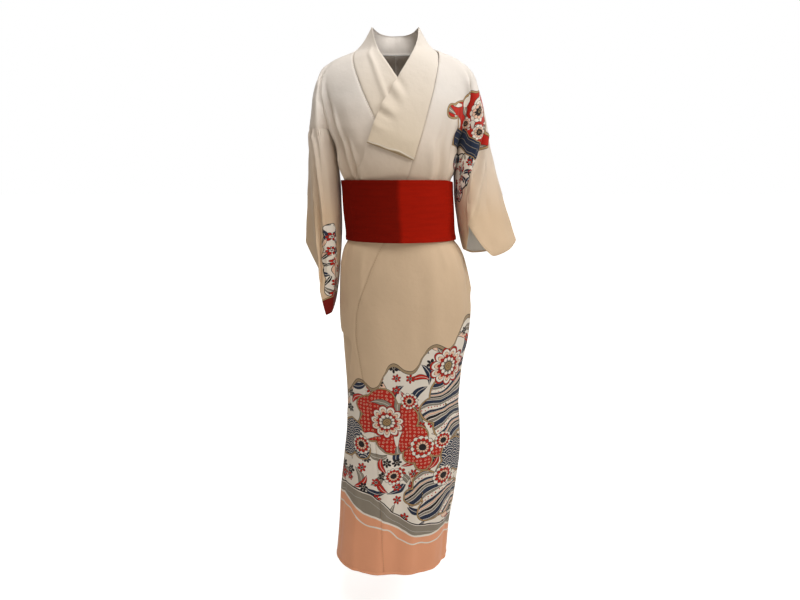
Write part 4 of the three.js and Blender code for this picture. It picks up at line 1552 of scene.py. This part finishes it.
WAVE_CLOUDS = (
    ((-150, -1010, 36), (-176, -1055, 42), (-116, -1062, 26)),
    ((150, -1075, 42), (196, -1100, 50), (132, -1115, 30)),
    ((-260, -1120, 44), (-230, -1160, 40)),
    ((-455, -860, 44), (-420, -900, 34)),
    ((455, -860, 44), (430, -905, 30)),
)
GREAT_BLOOMS = ((122, -812, 56), (-44, -968, 50), (-330, -950, 58), (345, -890, 58))
BLOOMS = (
    (18, -905, 24), (52, -1040, 34), (-118, -1046, 28), (112, -1030, 26), (-20, -1130, 27), (120, -1140, 32),
    (-400, -820, 34), (-240, -1060, 34), (255, -960, 36), (400, -1130, 40), (-400, -1130, 40),
)


def skirt_design(dye: Dye) -> None:
    """The skirt's dyed bands: a salmon hem, grey water, and above them clouds, streams, leaves and flowers.

    Args:
        dye: what to paint with.
    """
    top = dye.edge(SKIRT_TOP)
    field = top.inside()
    dye.paint(field, Silk.TAUPE)
    dye.paint(top.line(1.6), Silk.BLACK)
    ground = (top + 9.0).inside()
    dye.paint(ground, Silk.PALE)
    dye.paint((top + 9.0).line(1.4), Silk.BLACK)
    dye.leaves(60.0, 31.0, 31.0, 9.0, (Silk.GREY, Silk.NAVY), ground)
    dye.leaves(66.0, 140.0, 27.0, 8.0, (Silk.RED, Silk.PINK), ground)
    a, b, luck, other = dye.scatter(46.0, 210.0, 0.7)
    dark = other.op("GREATER_THAN", 0.5)
    for mask, petals in ((ground, Silk.BLACK), (ground * dark, Silk.RED)):
        plum = ((1.0, 0.6, 0.0, petals), (0.36, 0.2, 0.5, Silk.PALE), (0.18, 0.0, 0.0, Silk.GOLD))
        dye.flower(a, b, luck, 13.0, 6, plum, mask)
    fills = ((RED_CLOUDS, dye.dapple), (STREAM_CLOUDS, dye.streams), (WAVE_CLOUDS, dye.waves))
    for clouds, fill in fills:
        edge = dye.cloud(clouds[0])
        for cloud in clouds[1:]:
            edge = edge.op("MINIMUM", dye.cloud(cloud))
        fill(edge.inside() * ground)
        dye.bordered(edge, ground)
    dye.leaves(74.0, 400.0, 36.0, 9.0, (Silk.PALE, Silk.GREY), dye.cloud(RED_CLOUDS[0]).inside() * ground)
    dye.great_blossom(GREAT_BLOOMS, field)
    a, b = dye.nearest(BLOOMS, 30.0)
    rings = (
        (1.0, 0.15, 0.0, Silk.PALE), (0.8, 0.2, 0.5, Silk.RED), (0.55, 0.22, 0.0, Silk.PINK),
        (0.3, 0.1, 0.0, Silk.BLACK),
    )
    dye.flower(a, b, 0.2, 30.0, 12, rings, ground)
    grey = dye.edge(WATER_TOP)
    dye.paint(grey.inside(), Silk.GREY)
    dye.paint(grey.line(4.0), Silk.BLACK)
    dye.paint((grey + 3.0).line(2.4), Silk.PALE)
    dye.paint((grey + 24.0).line(1.0), Silk.LIGHT_GREY)
    hem = dye.edge(HEM_TOP)
    dye.paint(hem.inside(), Silk.SALMON)
    dye.paint(hem.line(6.0), Silk.PALE)
    ripple = (dye.x * (1 / 17)).op("SINE") * 3.0 + (dye.x * (1 / 7)).op("SINE")
    dye.paint((hem + 26.0 + ripple).line(4.6), Silk.PALE)


SHOULDER_RED = (
    (146, -157, 16), (172, -152, 22), (204, -136, 28), (238, -138, 36), (198, -178, 34), (240, -190, 38),
    (188, -206, 24), (224, -222, 24), (256, -222, 26),
)
SHOULDER_BLOOMS = ((238, -154, 26), (204, -184, 18), (250, -204, 20))
SLEEVE_PALE = (
    (192, -282, 26), (222, -284, 28), (246, -280, 24), (192, -318, 26), (220, -322, 24), (196, -352, 24),
    (212, -354, 14),
)


def shoulder_design(dye: Dye) -> None:
    """The design over the left shoulder and down the inner half of the left sleeve.

    Args:
        dye: what to paint with.
    """
    fold = (dye.x - 257.0 - (dye.y + 264.0) * 0.24).inside()  # the outer half of the sleeve is left plain
    lower = dye.cloud(SLEEVE_PALE)
    mask = lower.inside() * fold
    dye.paint(mask, Silk.PALE)
    dye.leaves(25.0, 15.0, 15.0, 5.5, (Silk.NAVY, Silk.GREY), mask)
    a, b, luck, _ = dye.scatter(23.0, 90.0, 0.7)
    plum = ((1.0, 0.6, 0.0, Silk.RED), (0.4, 0.2, 0.5, Silk.PALE))
    dye.flower(a, b, luck, 8.0, 6, plum, mask, line=1.0)
    dye.paint(lower.line(3.4) * fold, Silk.BLACK)
    cloud = dye.cloud(SHOULDER_RED)
    red = cloud.inside()
    dye.paint(red, Silk.RED)
    dye.leaves(40.0, 60.0, 26.0, 6.5, (Silk.PALE, Silk.GREY), red)
    a, b = dye.nearest(SHOULDER_BLOOMS, 28.0)
    rings = (
        (1.0, 0.16, 0.0, Silk.PALE), (0.72, 0.2, 0.5, Silk.PINK), (0.46, 0.25, 0.0, Silk.BLACK),
        (0.2, 0.0, 0.0, Silk.GOLD),
    )
    dye.flower(a, b, 0.2, 28.0, 10, rings, red)
    dye.bordered(cloud)
    slope = dye.y + 233.0 + (dye.x - 215.0) * 0.4
    band = (abs(slope) - 21.0).op("MAXIMUM", abs(dye.x - 214.0) - 48.0)
    dye.paint(band.inside() * fold, Silk.NAVY)
    dye.paint((slope.op("WRAP", 7.0, -7.0)).line(1.4) * (band + 5.0).inside() * fold, Silk.GREY)
    dye.bordered(band, fold, 2.0)


CUFF_CLOUDS = ((-226, -452, 20), (-224, -484, 27), (-222, -520, 30), (-212, -560, 34), (-208, -600, 36))
CUFF_TIP = ((-640, -628), (-300, -632), (-250, -640), (-200, -618), (-150, -634), (640, -628))


def cuff_design(dye: Dye) -> None:
    """The sprays near the right sleeve's cuff.

    Args:
        dye: what to paint with.
    """
    spot = dye.cloud(CUFF_CLOUDS)
    mask = spot.inside()
    dye.paint(mask, Silk.PALE)
    dye.leaves(36.0, 12.0, 28.0, 7.0, (Silk.NAVY, Silk.PINK), mask)
    dye.leaves(26.0, 70.0, 25.0, 3.4, (Silk.BLACK, Silk.GREY), mask)
    a, b, luck, _ = dye.scatter(42.0, 33.0, 0.6)
    plum = ((1.0, 0.6, 0.0, Silk.RED), (0.45, 0.2, 0.5, Silk.PALE))
    dye.flower(a, b, luck, 12.0, 6, plum, mask)
    dye.paint(spot.line(1.6), Silk.BLACK)
    tip = dye.edge(CUFF_TIP)
    dye.paint(tip.inside(), Silk.DARK_RED)
    dye.bordered(tip)


COLLAR_END = -425.0  # the left end's place on the band's own flat cloth


def collar_end_highlight_and_shade(dye: Dye) -> None:
    """The collar's lower end: a painted highlight as a pale line along its pressed edge, and painted shadow
    in taupe at the very end.

    Args:
        dye: what to paint with.
    """
    # Painted highlight, then painted shadow.
    dye.paint((dye.y - COLLAR_END - 4.4).line(1.8), Silk.PALE)
    dye.paint((dye.y - COLLAR_END - 1.6).inside(), Silk.TAUPE)


def sash_painted_shade(dye: Dye) -> None:
    """Painted shade: beyond the fold down the sash's front, its right half is painted darker, as the half
    turned from the light.

    Args:
        dye: what to paint with.
    """
    dye.paint((dye.x - 1.5).inside(11.0), Silk.DARK_RED)


class Cloth(Enum):
    """The kinds of cloth in the garment."""

    PLAIN = "Plain silk crepe"
    BODY_LEFT = "Dyed silk crepe of the left body"
    BODY = "Dyed silk crepe of the body"
    SLEEVE_LEFT = "Dyed silk crepe of the left sleeve"
    SLEEVE_RIGHT = "Dyed silk crepe of the right sleeve"
    LINING = "Plain weave lining silk"
    HEM = "Salmon lining silk"
    SASH = "Red cotton sash cloth"
    THREAD = "Silk sewing thread"


@dataclass(frozen=True)
class Finish:
    """How a cloth meets the eye."""

    high: Silk  # at the shoulder
    low: Silk  # and further down: painted shade, darker and warmer
    roughness: float
    sheen: float
    weave: float  # millimetres between its threads
    relief: float  # how deep the weave is
    # designs also lay painted shade and highlight, as on the sash and at the collar's end
    designs: tuple[Callable[[Dye], None], ...] = ()
    grain: tuple[float, float, float] = (1.0, 1.0, 0.7)  # how much finer it is along X, Y and Z
    mottle: float = 9.0  # patches of tone to a metre
    streaks: float = 0.14  # how far their tone varies
    gloss: float = 0.2


# Silk crepe: tightly twisted weft leaves a pebbled face that scatters light softly, with a faint sheen at the
# edges. The pebbles are 1.4 mm apart, drawn about twice as coarse as real ones so that they show.
CREPE = (0.62, 0.25, 1.4, 0.35)
# Lining silk: smooth and thin, so a little glossier than the crepe.
LINING_SILK = (0.45, 0.15, 0.9, 0.12)
# Sash cloth: close-woven and matt, with fine ribs that run round the waist.
RIBS = {"grain": (0.1, 0.1, 1.0), "mottle": 160.0, "streaks": 0.4, "gloss": 0.08}
# Thread: fine twisted silk, a shade darker than the cloth it crosses.
FINISHES: dict[Cloth, Finish] = {
    # The low colours of the crepes are painted shade, growing towards the hem.
    Cloth.PLAIN: Finish(Silk.IVORY, Silk.SHADED_CREAM, *CREPE, (collar_end_highlight_and_shade,)),
    Cloth.BODY_LEFT: Finish(Silk.IVORY, Silk.SHADED_TAN, *CREPE, (skirt_design, shoulder_design)),
    Cloth.BODY: Finish(Silk.IVORY, Silk.SHADED_TAN, *CREPE, (skirt_design,)),
    Cloth.SLEEVE_LEFT: Finish(Silk.IVORY, Silk.SHADED_TAN, *CREPE, (shoulder_design,)),
    Cloth.SLEEVE_RIGHT: Finish(Silk.IVORY, Silk.SHADED_TAN, *CREPE, (cuff_design,)),
    Cloth.LINING: Finish(Silk.PEARL, Silk.PEARL, *LINING_SILK),
    Cloth.HEM: Finish(Silk.SALMON, Silk.SALMON, *LINING_SILK),
    Cloth.SASH: Finish(Silk.DEEP_RED, Silk.DEEP_RED, 0.85, 0.0, 1.6, 0.6, (sash_painted_shade,), **RIBS),
    Cloth.THREAD: Finish(Silk.GOLD, Silk.GOLD, 0.6, 0.1, 0.5, 0.0),
}


def material(kind: Cloth) -> bpy.types.Material:
    """The material of a kind of cloth, made once.

    Args:
        kind: which cloth.

    Returns:
        The material.
    """
    found = bpy.data.materials.get(kind.value)
    if found:
        return found
    finish = FINISHES[kind]
    mat = bpy.data.materials.new(kind.value)
    mat.use_nodes = True
    tree = mat.node_tree
    shader = next(n for n in tree.nodes if n.type == "BSDF_PRINCIPLED")
    dye = shaded_base_cloth(tree, finish.high, finish.low)
    for design in finish.designs:
        design(dye)
    place = add(tree, "ShaderNodeTexCoord")
    spread = add(tree, "ShaderNodeMapping", {"Vector": place.outputs["Object"], "Scale": finish.grain})
    cloudy = {"Vector": spread.outputs[0], "Scale": finish.mottle, "Detail": 2.0}
    patches = add(tree, "ShaderNodeTexNoise", cloudy)
    tone = Field(tree, patches.outputs[0]).op("MULTIPLY_ADD", finish.streaks, 1 - finish.streaks / 2)
    shade = add(tree, "ShaderNodeHueSaturation", {"Value": tone, "Color": dye.colour})
    tree.links.new(shade.outputs[0], shader.inputs["Base Color"])
    plain = {
        "Roughness": finish.roughness, "Sheen Weight": finish.sheen, "Sheen Roughness": 0.4,
        "Specular IOR Level": finish.gloss,
    }
    for name, value in plain.items():
        shader.inputs[name].default_value = value
    if finish.relief:
        threads = {
            "Vector": spread.outputs[0], "Scale": 1 / (finish.weave * MM), "Detail": 1.0, "Roughness": 0.6
        }
        grain = add(tree, "ShaderNodeTexNoise", threads)
        # Handling leaves the cloth uneven over about 30 mm, by up to 3 mm.
        handled = {"Vector": place.outputs["Object"], "Scale": 34.0, "Detail": 3.0, "Roughness": 0.55}
        soft = add(tree, "ShaderNodeTexNoise", handled)
        height = Field(tree, soft.outputs[0]) * 3.0 + Field(tree, grain.outputs[0]) * finish.relief
        bump = add(tree, "ShaderNodeBump", {"Height": height, "Strength": 0.5, "Distance": MM})
        tree.links.new(bump.outputs[0], shader.inputs["Normal"])
    return mat


# ---- Stitches ----


def stitch_tree() -> bpy.types.NodeTree:
    """The Geometry Nodes tree that lays stitches along a line.

    Returns:
        The tree, with inputs Pitch, Length, Thickness and Material.
    """
    tree = bpy.data.node_groups.new("Running stitches", "GeometryNodeTree")
    face = tree.interface
    face.new_socket("Geometry", in_out="INPUT", socket_type="NodeSocketGeometry")
    for name in ("Pitch", "Length", "Thickness"):
        face.new_socket(name, in_out="INPUT", socket_type="NodeSocketFloat")
    face.new_socket("Material", in_out="INPUT", socket_type="NodeSocketMaterial")
    face.new_socket("Geometry", in_out="OUTPUT", socket_type="NodeSocketGeometry")
    start = add(tree, "NodeGroupInput")
    line = add(tree, "GeometryNodeMeshToCurve", {0: start.outputs[0]})
    spaced = {"Curve": line.outputs[0], "Length": start.outputs[1]}
    even = add(tree, "GeometryNodeResampleCurve", spaced, mode="LENGTH")
    sizes = {"Vertices": 6, "Side Segments": 2, "Radius": start.outputs[3], "Depth": start.outputs[2]}
    body = add(tree, "GeometryNodeMeshCylinder", sizes)
    tangent = add(tree, "GeometryNodeInputTangent")
    turn = add(tree, "FunctionNodeAlignRotationToVector", {"Vector": tangent.outputs[0]}, axis="Z")
    placed = {"Points": even.outputs[0], "Instance": body.outputs[0], "Rotation": turn.outputs[0]}
    each = add(tree, "GeometryNodeInstanceOnPoints", placed)
    real = add(tree, "GeometryNodeRealizeInstances", {0: each.outputs[0]})
    dressed = add(tree, "GeometryNodeSetMaterial", {0: real.outputs[0], "Material": start.outputs[4]})
    add(tree, "NodeGroupOutput", {0: dressed.outputs[0]})
    return tree


@dataclass
class Stitches:
    """A row of hand stitches along a line on the cloth."""

    name: str
    points: np.ndarray
    pitch: float = 6.0
    length: float = 2.6
    thickness: float = 0.35  # the thread's radius

    def build(self, tree: bpy.types.NodeTree, thread: bpy.types.Material) -> bpy.types.Object:
        """Makes the row.

        Args:
            tree: the stitches' Geometry Nodes tree.
            thread: the thread's material.

        Returns:
            The row's object, a plain mesh.
        """
        mesh = bpy.data.meshes.new(self.name + " line")
        edges = [(i, i + 1) for i in range(len(self.points) - 1)]
        mesh.from_pydata((self.points * MM).tolist(), edges, [])
        obj = bpy.data.objects.new(self.name, mesh)
        bpy.context.scene.collection.objects.link(obj)
        modifier = obj.modifiers.new("Stitches", "NODES")
        modifier.node_group = tree
        sizes = {"Pitch": self.pitch * MM, "Length": self.length * MM, "Thickness": self.thickness * MM}
        for item in tree.interface.items_tree:
            if item.in_out == "INPUT" and item.name in sizes:
                modifier[item.identifier] = sizes[item.name]
            elif item.in_out == "INPUT" and item.name == "Material":
                modifier[item.identifier] = thread
        obj.update_tag()
        graph = bpy.context.evaluated_depsgraph_get()
        made = bpy.data.meshes.new_from_object(obj.evaluated_get(graph))
        obj.modifiers.clear()
        obj.data = made
        LOG.info("%s: %d faces", self.name, len(made.polygons))
        return obj


@dataclass
class Seam:
    """A sewn line on the figure surface, with its row of stitches beside it."""

    name: str
    s: np.ndarray
    z: np.ndarray
    layer: Callable[[np.ndarray], np.ndarray]
    beside: float  # millimetres from the seam round the figure, positive to the wearer's left

    def row(self) -> Stitches:
        """The row of stitches.

        Returns:
            The row, not yet made.
        """
        s = self.s + self.beside / SEAM_SPAN
        offset = self.layer(s) + edge_roll(np.abs(np.array(self.beside)))
        over = (self.z > SLEEVE_SEAM)[:, None]
        points = np.where(over, surface(s, self.z, True, offset), surface(s, self.z, False, offset))
        return Stitches(self.name, points)


def seams() -> list[Seam]:
    """The seams whose stitches show.

    Returns:
        The seams, collar first.
    """
    found = []
    for side, band, layer, sign in (("left", LEFT_BAND, left_layer, 1), ("right", RIGHT_BAND, no_layer, -1)):
        z = np.linspace(-12, BAND_END, 60)
        s = place_at(np.interp(-z, -band["z"], band["seam_x"]), z)
        found.append(Seam(f"{side}_collar_stitches", s, z, layer, sign * BESIDE))
    chest = np.linspace(BAND_END, -320, 12)
    skirt = np.linspace(-480, HEM + 4, 160)
    overlaps = (
        ("left", LEFT_OVERLAP, skirt, left_layer, BESIDE), ("right", RIGHT_OVERLAP, chest, no_layer, -BESIDE)
    )
    for side, overlap, z, layer, beside in overlaps:
        found.append(Seam(f"{side}_overlap_stitches", column(overlap, "seam", z), z, layer, beside))
    uprights = (
        ("left_side", LEFT_SIDE_SEAM, left_layer, -BESIDE), ("right_side", RIGHT_SIDE_SEAM, no_layer, BESIDE),
        ("centre_back", 1.0, left_layer, -BESIDE),
    )
    for name, place, layer, beside in uprights:
        found.append(Seam(f"{name}_stitches", np.full(len(skirt), place), skirt, layer, beside))
    s = np.linspace(column(LEFT_OVERLAP, "edge", HEM) + 0.01, 0.42, 120)
    found.append(Seam("hem_stitches", s, np.full(len(s), HEM + 3.0), left_layer, 0.0))
    return found


# ---- The scene ----


@dataclass
class Studio:
    """A pale floor that fades to white, soft lights and the camera."""

    floor_z: float = -1600.0
    floor_reach: float = 40.0  # in metres
    lens: float = 24.525
    eye: tuple[float, float, float] = (11.5, -1489.0, -317.0)
    tilt: float = 12.62  # degrees below level
    aim: tuple[float, float, float] = (0.0, 0.0, -0.55)  # where the lights look, in metres
    air: float = 0.3  # the even light's strength
    fade: tuple[float, float] = (0.5, 3.6)  # from this far to that far out, in metres, the floor turns white

    def world(self) -> None:
        """Makes the studio's even light, with a plain white ground behind."""
        world = bpy.data.worlds.new("Studio air")
        world.use_nodes = True
        tree = world.node_tree
        seen = add(tree, "ShaderNodeLightPath").outputs["Is Camera Ray"]
        warm = [self.air * c for c in srgb("f7ebdd")]
        colours = {0: seen, 6: warm, 7: (1.0, 1.0, 1.0, 1.0)}
        air = add(tree, "ShaderNodeMix", colours, data_type="RGBA")
        tree.links.new(air.outputs[2], tree.nodes["Background"].inputs["Color"])
        bpy.context.scene.world = world
        bpy.context.scene.view_settings.view_transform = "Standard"

    def floor(self) -> None:
        """Makes the floor."""
        r, z = self.floor_reach, self.floor_z * MM
        mesh = bpy.data.meshes.new("Floor")
        mesh.from_pydata([(-r, -r, z), (r, -r, z), (r, r, z), (-r, r, z)], [], [(0, 1, 2, 3)])
        floor = bpy.data.objects.new("Floor", mesh)
        bpy.context.scene.collection.objects.link(floor)
        paper = bpy.data.materials.new("Matt white studio paper")
        paper.use_nodes = True
        tree = paper.node_tree
        shader = next(n for n in tree.nodes if n.type == "BSDF_PRINCIPLED")
        shader.inputs["Base Color"].default_value = srgb("f4f3f1")
        shader.inputs["Roughness"].default_value = 0.9
        place = add(tree, "ShaderNodeTexCoord")
        away = add(tree, "ShaderNodeVectorMath", {0: place.outputs["Object"]}, operation="LENGTH")
        near, far = (math.hypot(out, z) for out in self.fade)
        glow = add(tree, "ShaderNodeMapRange", {0: away.outputs[1], 1: near, 2: far, 3: 0.7, 4: 1.0})
        seen = Field(tree, add(tree, "ShaderNodeLightPath").outputs["Is Camera Ray"])  # it lights nothing
        shader.inputs["Emission Color"].default_value = (1, 1, 1, 1)
        tree.links.new((seen * Field(tree, glow.outputs[0])).socket, shader.inputs["Emission Strength"])
        mesh.materials.append(paper)

    def lamp(self, name: str, place: tuple[float, float, float], size: float, power: float) -> None:
        """Makes a soft light that looks at the garment.

        Args:
            name: its name.
            place: where it stands, in metres.
            size: the side of its square, in metres.
            power: its power in watts.
        """
        data = bpy.data.lights.new(name, "AREA")
        data.shape, data.size, data.energy = "SQUARE", size, power
        light = bpy.data.objects.new(name, data)
        light.location = place
        light.rotation_euler = (Vector(self.aim) - Vector(place)).to_track_quat("-Z", "Y").to_euler()
        bpy.context.scene.collection.objects.link(light)

    def camera(self) -> None:
        """Makes the camera."""
        data = bpy.data.cameras.new("Camera")
        data.lens, data.sensor_width = self.lens, 36.0
        camera = bpy.data.objects.new("Camera", data)
        camera.location = Vector(self.eye) * MM
        camera.rotation_euler = (math.radians(90 - self.tilt), 0, 0)
        bpy.context.scene.collection.objects.link(camera)
        bpy.context.scene.camera = camera

    def build(self) -> None:
        """Makes the studio."""
        self.world()
        self.floor()
        self.lamp("Key", (1.9, -1.0, 0.8), 1.0, 24.0)
        self.lamp("Top", (0.05, -0.65, 1.6), 1.1, 25.0)
        self.lamp("Fill", (0.4, -2.6, -0.7), 1.4, 5.0)
        self.lamp("Rim", (0.6, 2.0, 0.6), 1.6, 12.0)
        self.camera()


@dataclass
class Piece:
    """A maker's piece: what builds it, the CAD nodes it stands for and the cloth it is cut from."""

    maker: "BodySide | Overlap | Collar | Sleeve | Sash | HemRoll"
    nodes: tuple[str, ...]
    slot: str
    cloth: Cloth
    flat: tuple[float, float]  # width and length of the cut, in metres
    area: float  # of the cut, in square metres
    held: str = "hung"
    rests_on: tuple[str, ...] = ()

    def build(self) -> bpy.types.Object:
        """Builds and dresses the piece.

        Returns:
            The piece's object.
        """
        obj = self.maker.build()
        obj.data.materials.append(material(self.cloth))
        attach(obj, "root")
        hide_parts(*self.nodes)
        LOG.info("%s stands for %s", obj.name, ", ".join(self.nodes))
        return obj


@dataclass
class Kimono:
    """The whole garment with its sash."""

    left_hem: float = float(column(LEFT_OVERLAP, "edge", HEM))
    right_hem: float = float(column(RIGHT_OVERLAP, "edge", HEM))

    def pieces(self) -> list[Piece]:
        """The maker's pieces, in the order they are made.

        Returns:
            The pieces.
        """
        bodies = (
            BodySide("left_body_panel", 1.0, LEFT_BAND, LEFT_OVERLAP, LEFT_SIDE_SEAM, left_layer),
            BodySide("right_body_panel", -1.0, RIGHT_BAND, RIGHT_OVERLAP, RIGHT_SIDE_SEAM, no_layer),
        )
        left_overlap = Overlap("left_overlap_panel", LEFT_OVERLAP, LEFT_OVERLAP_TOP, LAYER, -1.0)
        right_overlap = Overlap("right_overlap_panel", RIGHT_OVERLAP, BAND_END, 0.0, 1.0)
        left_loop = (1.0, LEFT_SLEEVE, LEFT_SLEEVE_CREASES, left_layer)
        left_sleeve = Sleeve("left_sleeve_cloth", *left_loop)
        right_sleeve = Sleeve("right_sleeve_cloth", -1.0, RIGHT_SLEEVE, RIGHT_SLEEVE_CREASES, no_layer)
        lining = Sleeve(
            "left_sleeve_lining", *left_loop, start=0.62, end=0.985, inside=3.0, wall=0.9, down=24,
            folds=((0.0, 0.05), (0.28, 0.44), (0.95, 1.0)),
        )
        left_roll = HemRoll("left_hem_lining", 1.0, self.left_hem, left_layer, -1.0)
        right_roll = HemRoll("right_hem_lining", -1.0, self.right_hem, no_layer, 1.0)
        left, right = ((body.name,) for body in bodies)
        stretches = [f"{face}_{part}" for face in ("front", "back") for part in ("chest", "hip", "leg")]
        lengths = [tuple(f"body_{s}_{part}" for part in ("shoulder", *stretches)) for s in ("left", "right")]
        crepe, sleeve, hem = "silk_crepe", "silk_sleeve", "hem_lining"
        dyed_left, dyed_right = Cloth.SLEEVE_LEFT, Cloth.SLEEVE_RIGHT
        inside = (left_sleeve.name,)
        return [
            Piece(bodies[0], lengths[0], crepe, Cloth.BODY_LEFT, (0.36, 2.9), 0.8),
            Piece(bodies[1], lengths[1], crepe, Cloth.BODY, (0.36, 2.9), 0.72),
            Piece(left_overlap, ("overlap_left",), crepe, Cloth.BODY, (0.165, 1.22), 0.155, rests_on=left),
            Piece(right_overlap, ("overlap_right",), crepe, Cloth.BODY, (0.15, 1.16), 0.155, rests_on=right),
            Piece(
                Collar(), ("collar_band",), "silk_collar", Cloth.PLAIN, (0.11, 0.93), 0.085,
                rests_on=left + right,
            ),
            Piece(left_sleeve, ("sleeve_left",), sleeve, dyed_left, (0.45, 0.33), 0.148, rests_on=left),
            Piece(right_sleeve, ("sleeve_right",), sleeve, dyed_right, (0.45, 0.42), 0.155, rests_on=right),
            Piece(
                lining, ("sleeve_lining_left",), "lining_silk", Cloth.LINING, (0.32, 0.14), 0.0445,
                rests_on=inside,
            ),
            Piece(left_roll, ("hem_roll_left",), hem, Cloth.HEM, (0.78, 0.0105), 0.0081, rests_on=left),
            Piece(right_roll, ("hem_roll_right",), hem, Cloth.HEM, (0.68, 0.0105), 0.0071, rests_on=right),
            Piece(
                Sash(), ("sash",), "sash_cloth", Cloth.SASH, (0.155, 0.9), 0.1395, "stretched", left + right
            ),
        ]


def main() -> None:
    """Builds the garment and the studio, and reports each piece."""
    logging.basicConfig(level=logging.INFO, format="%(name)s: %(message)s")
    for piece in Kimono().pieces():
        piece.build()
    tree, thread = stitch_tree(), material(Cloth.THREAD)
    for seam in seams():
        row = seam.row().build(tree, thread)
        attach(row, "root")
    Studio().build()


if __name__ == "__main__":
    main()
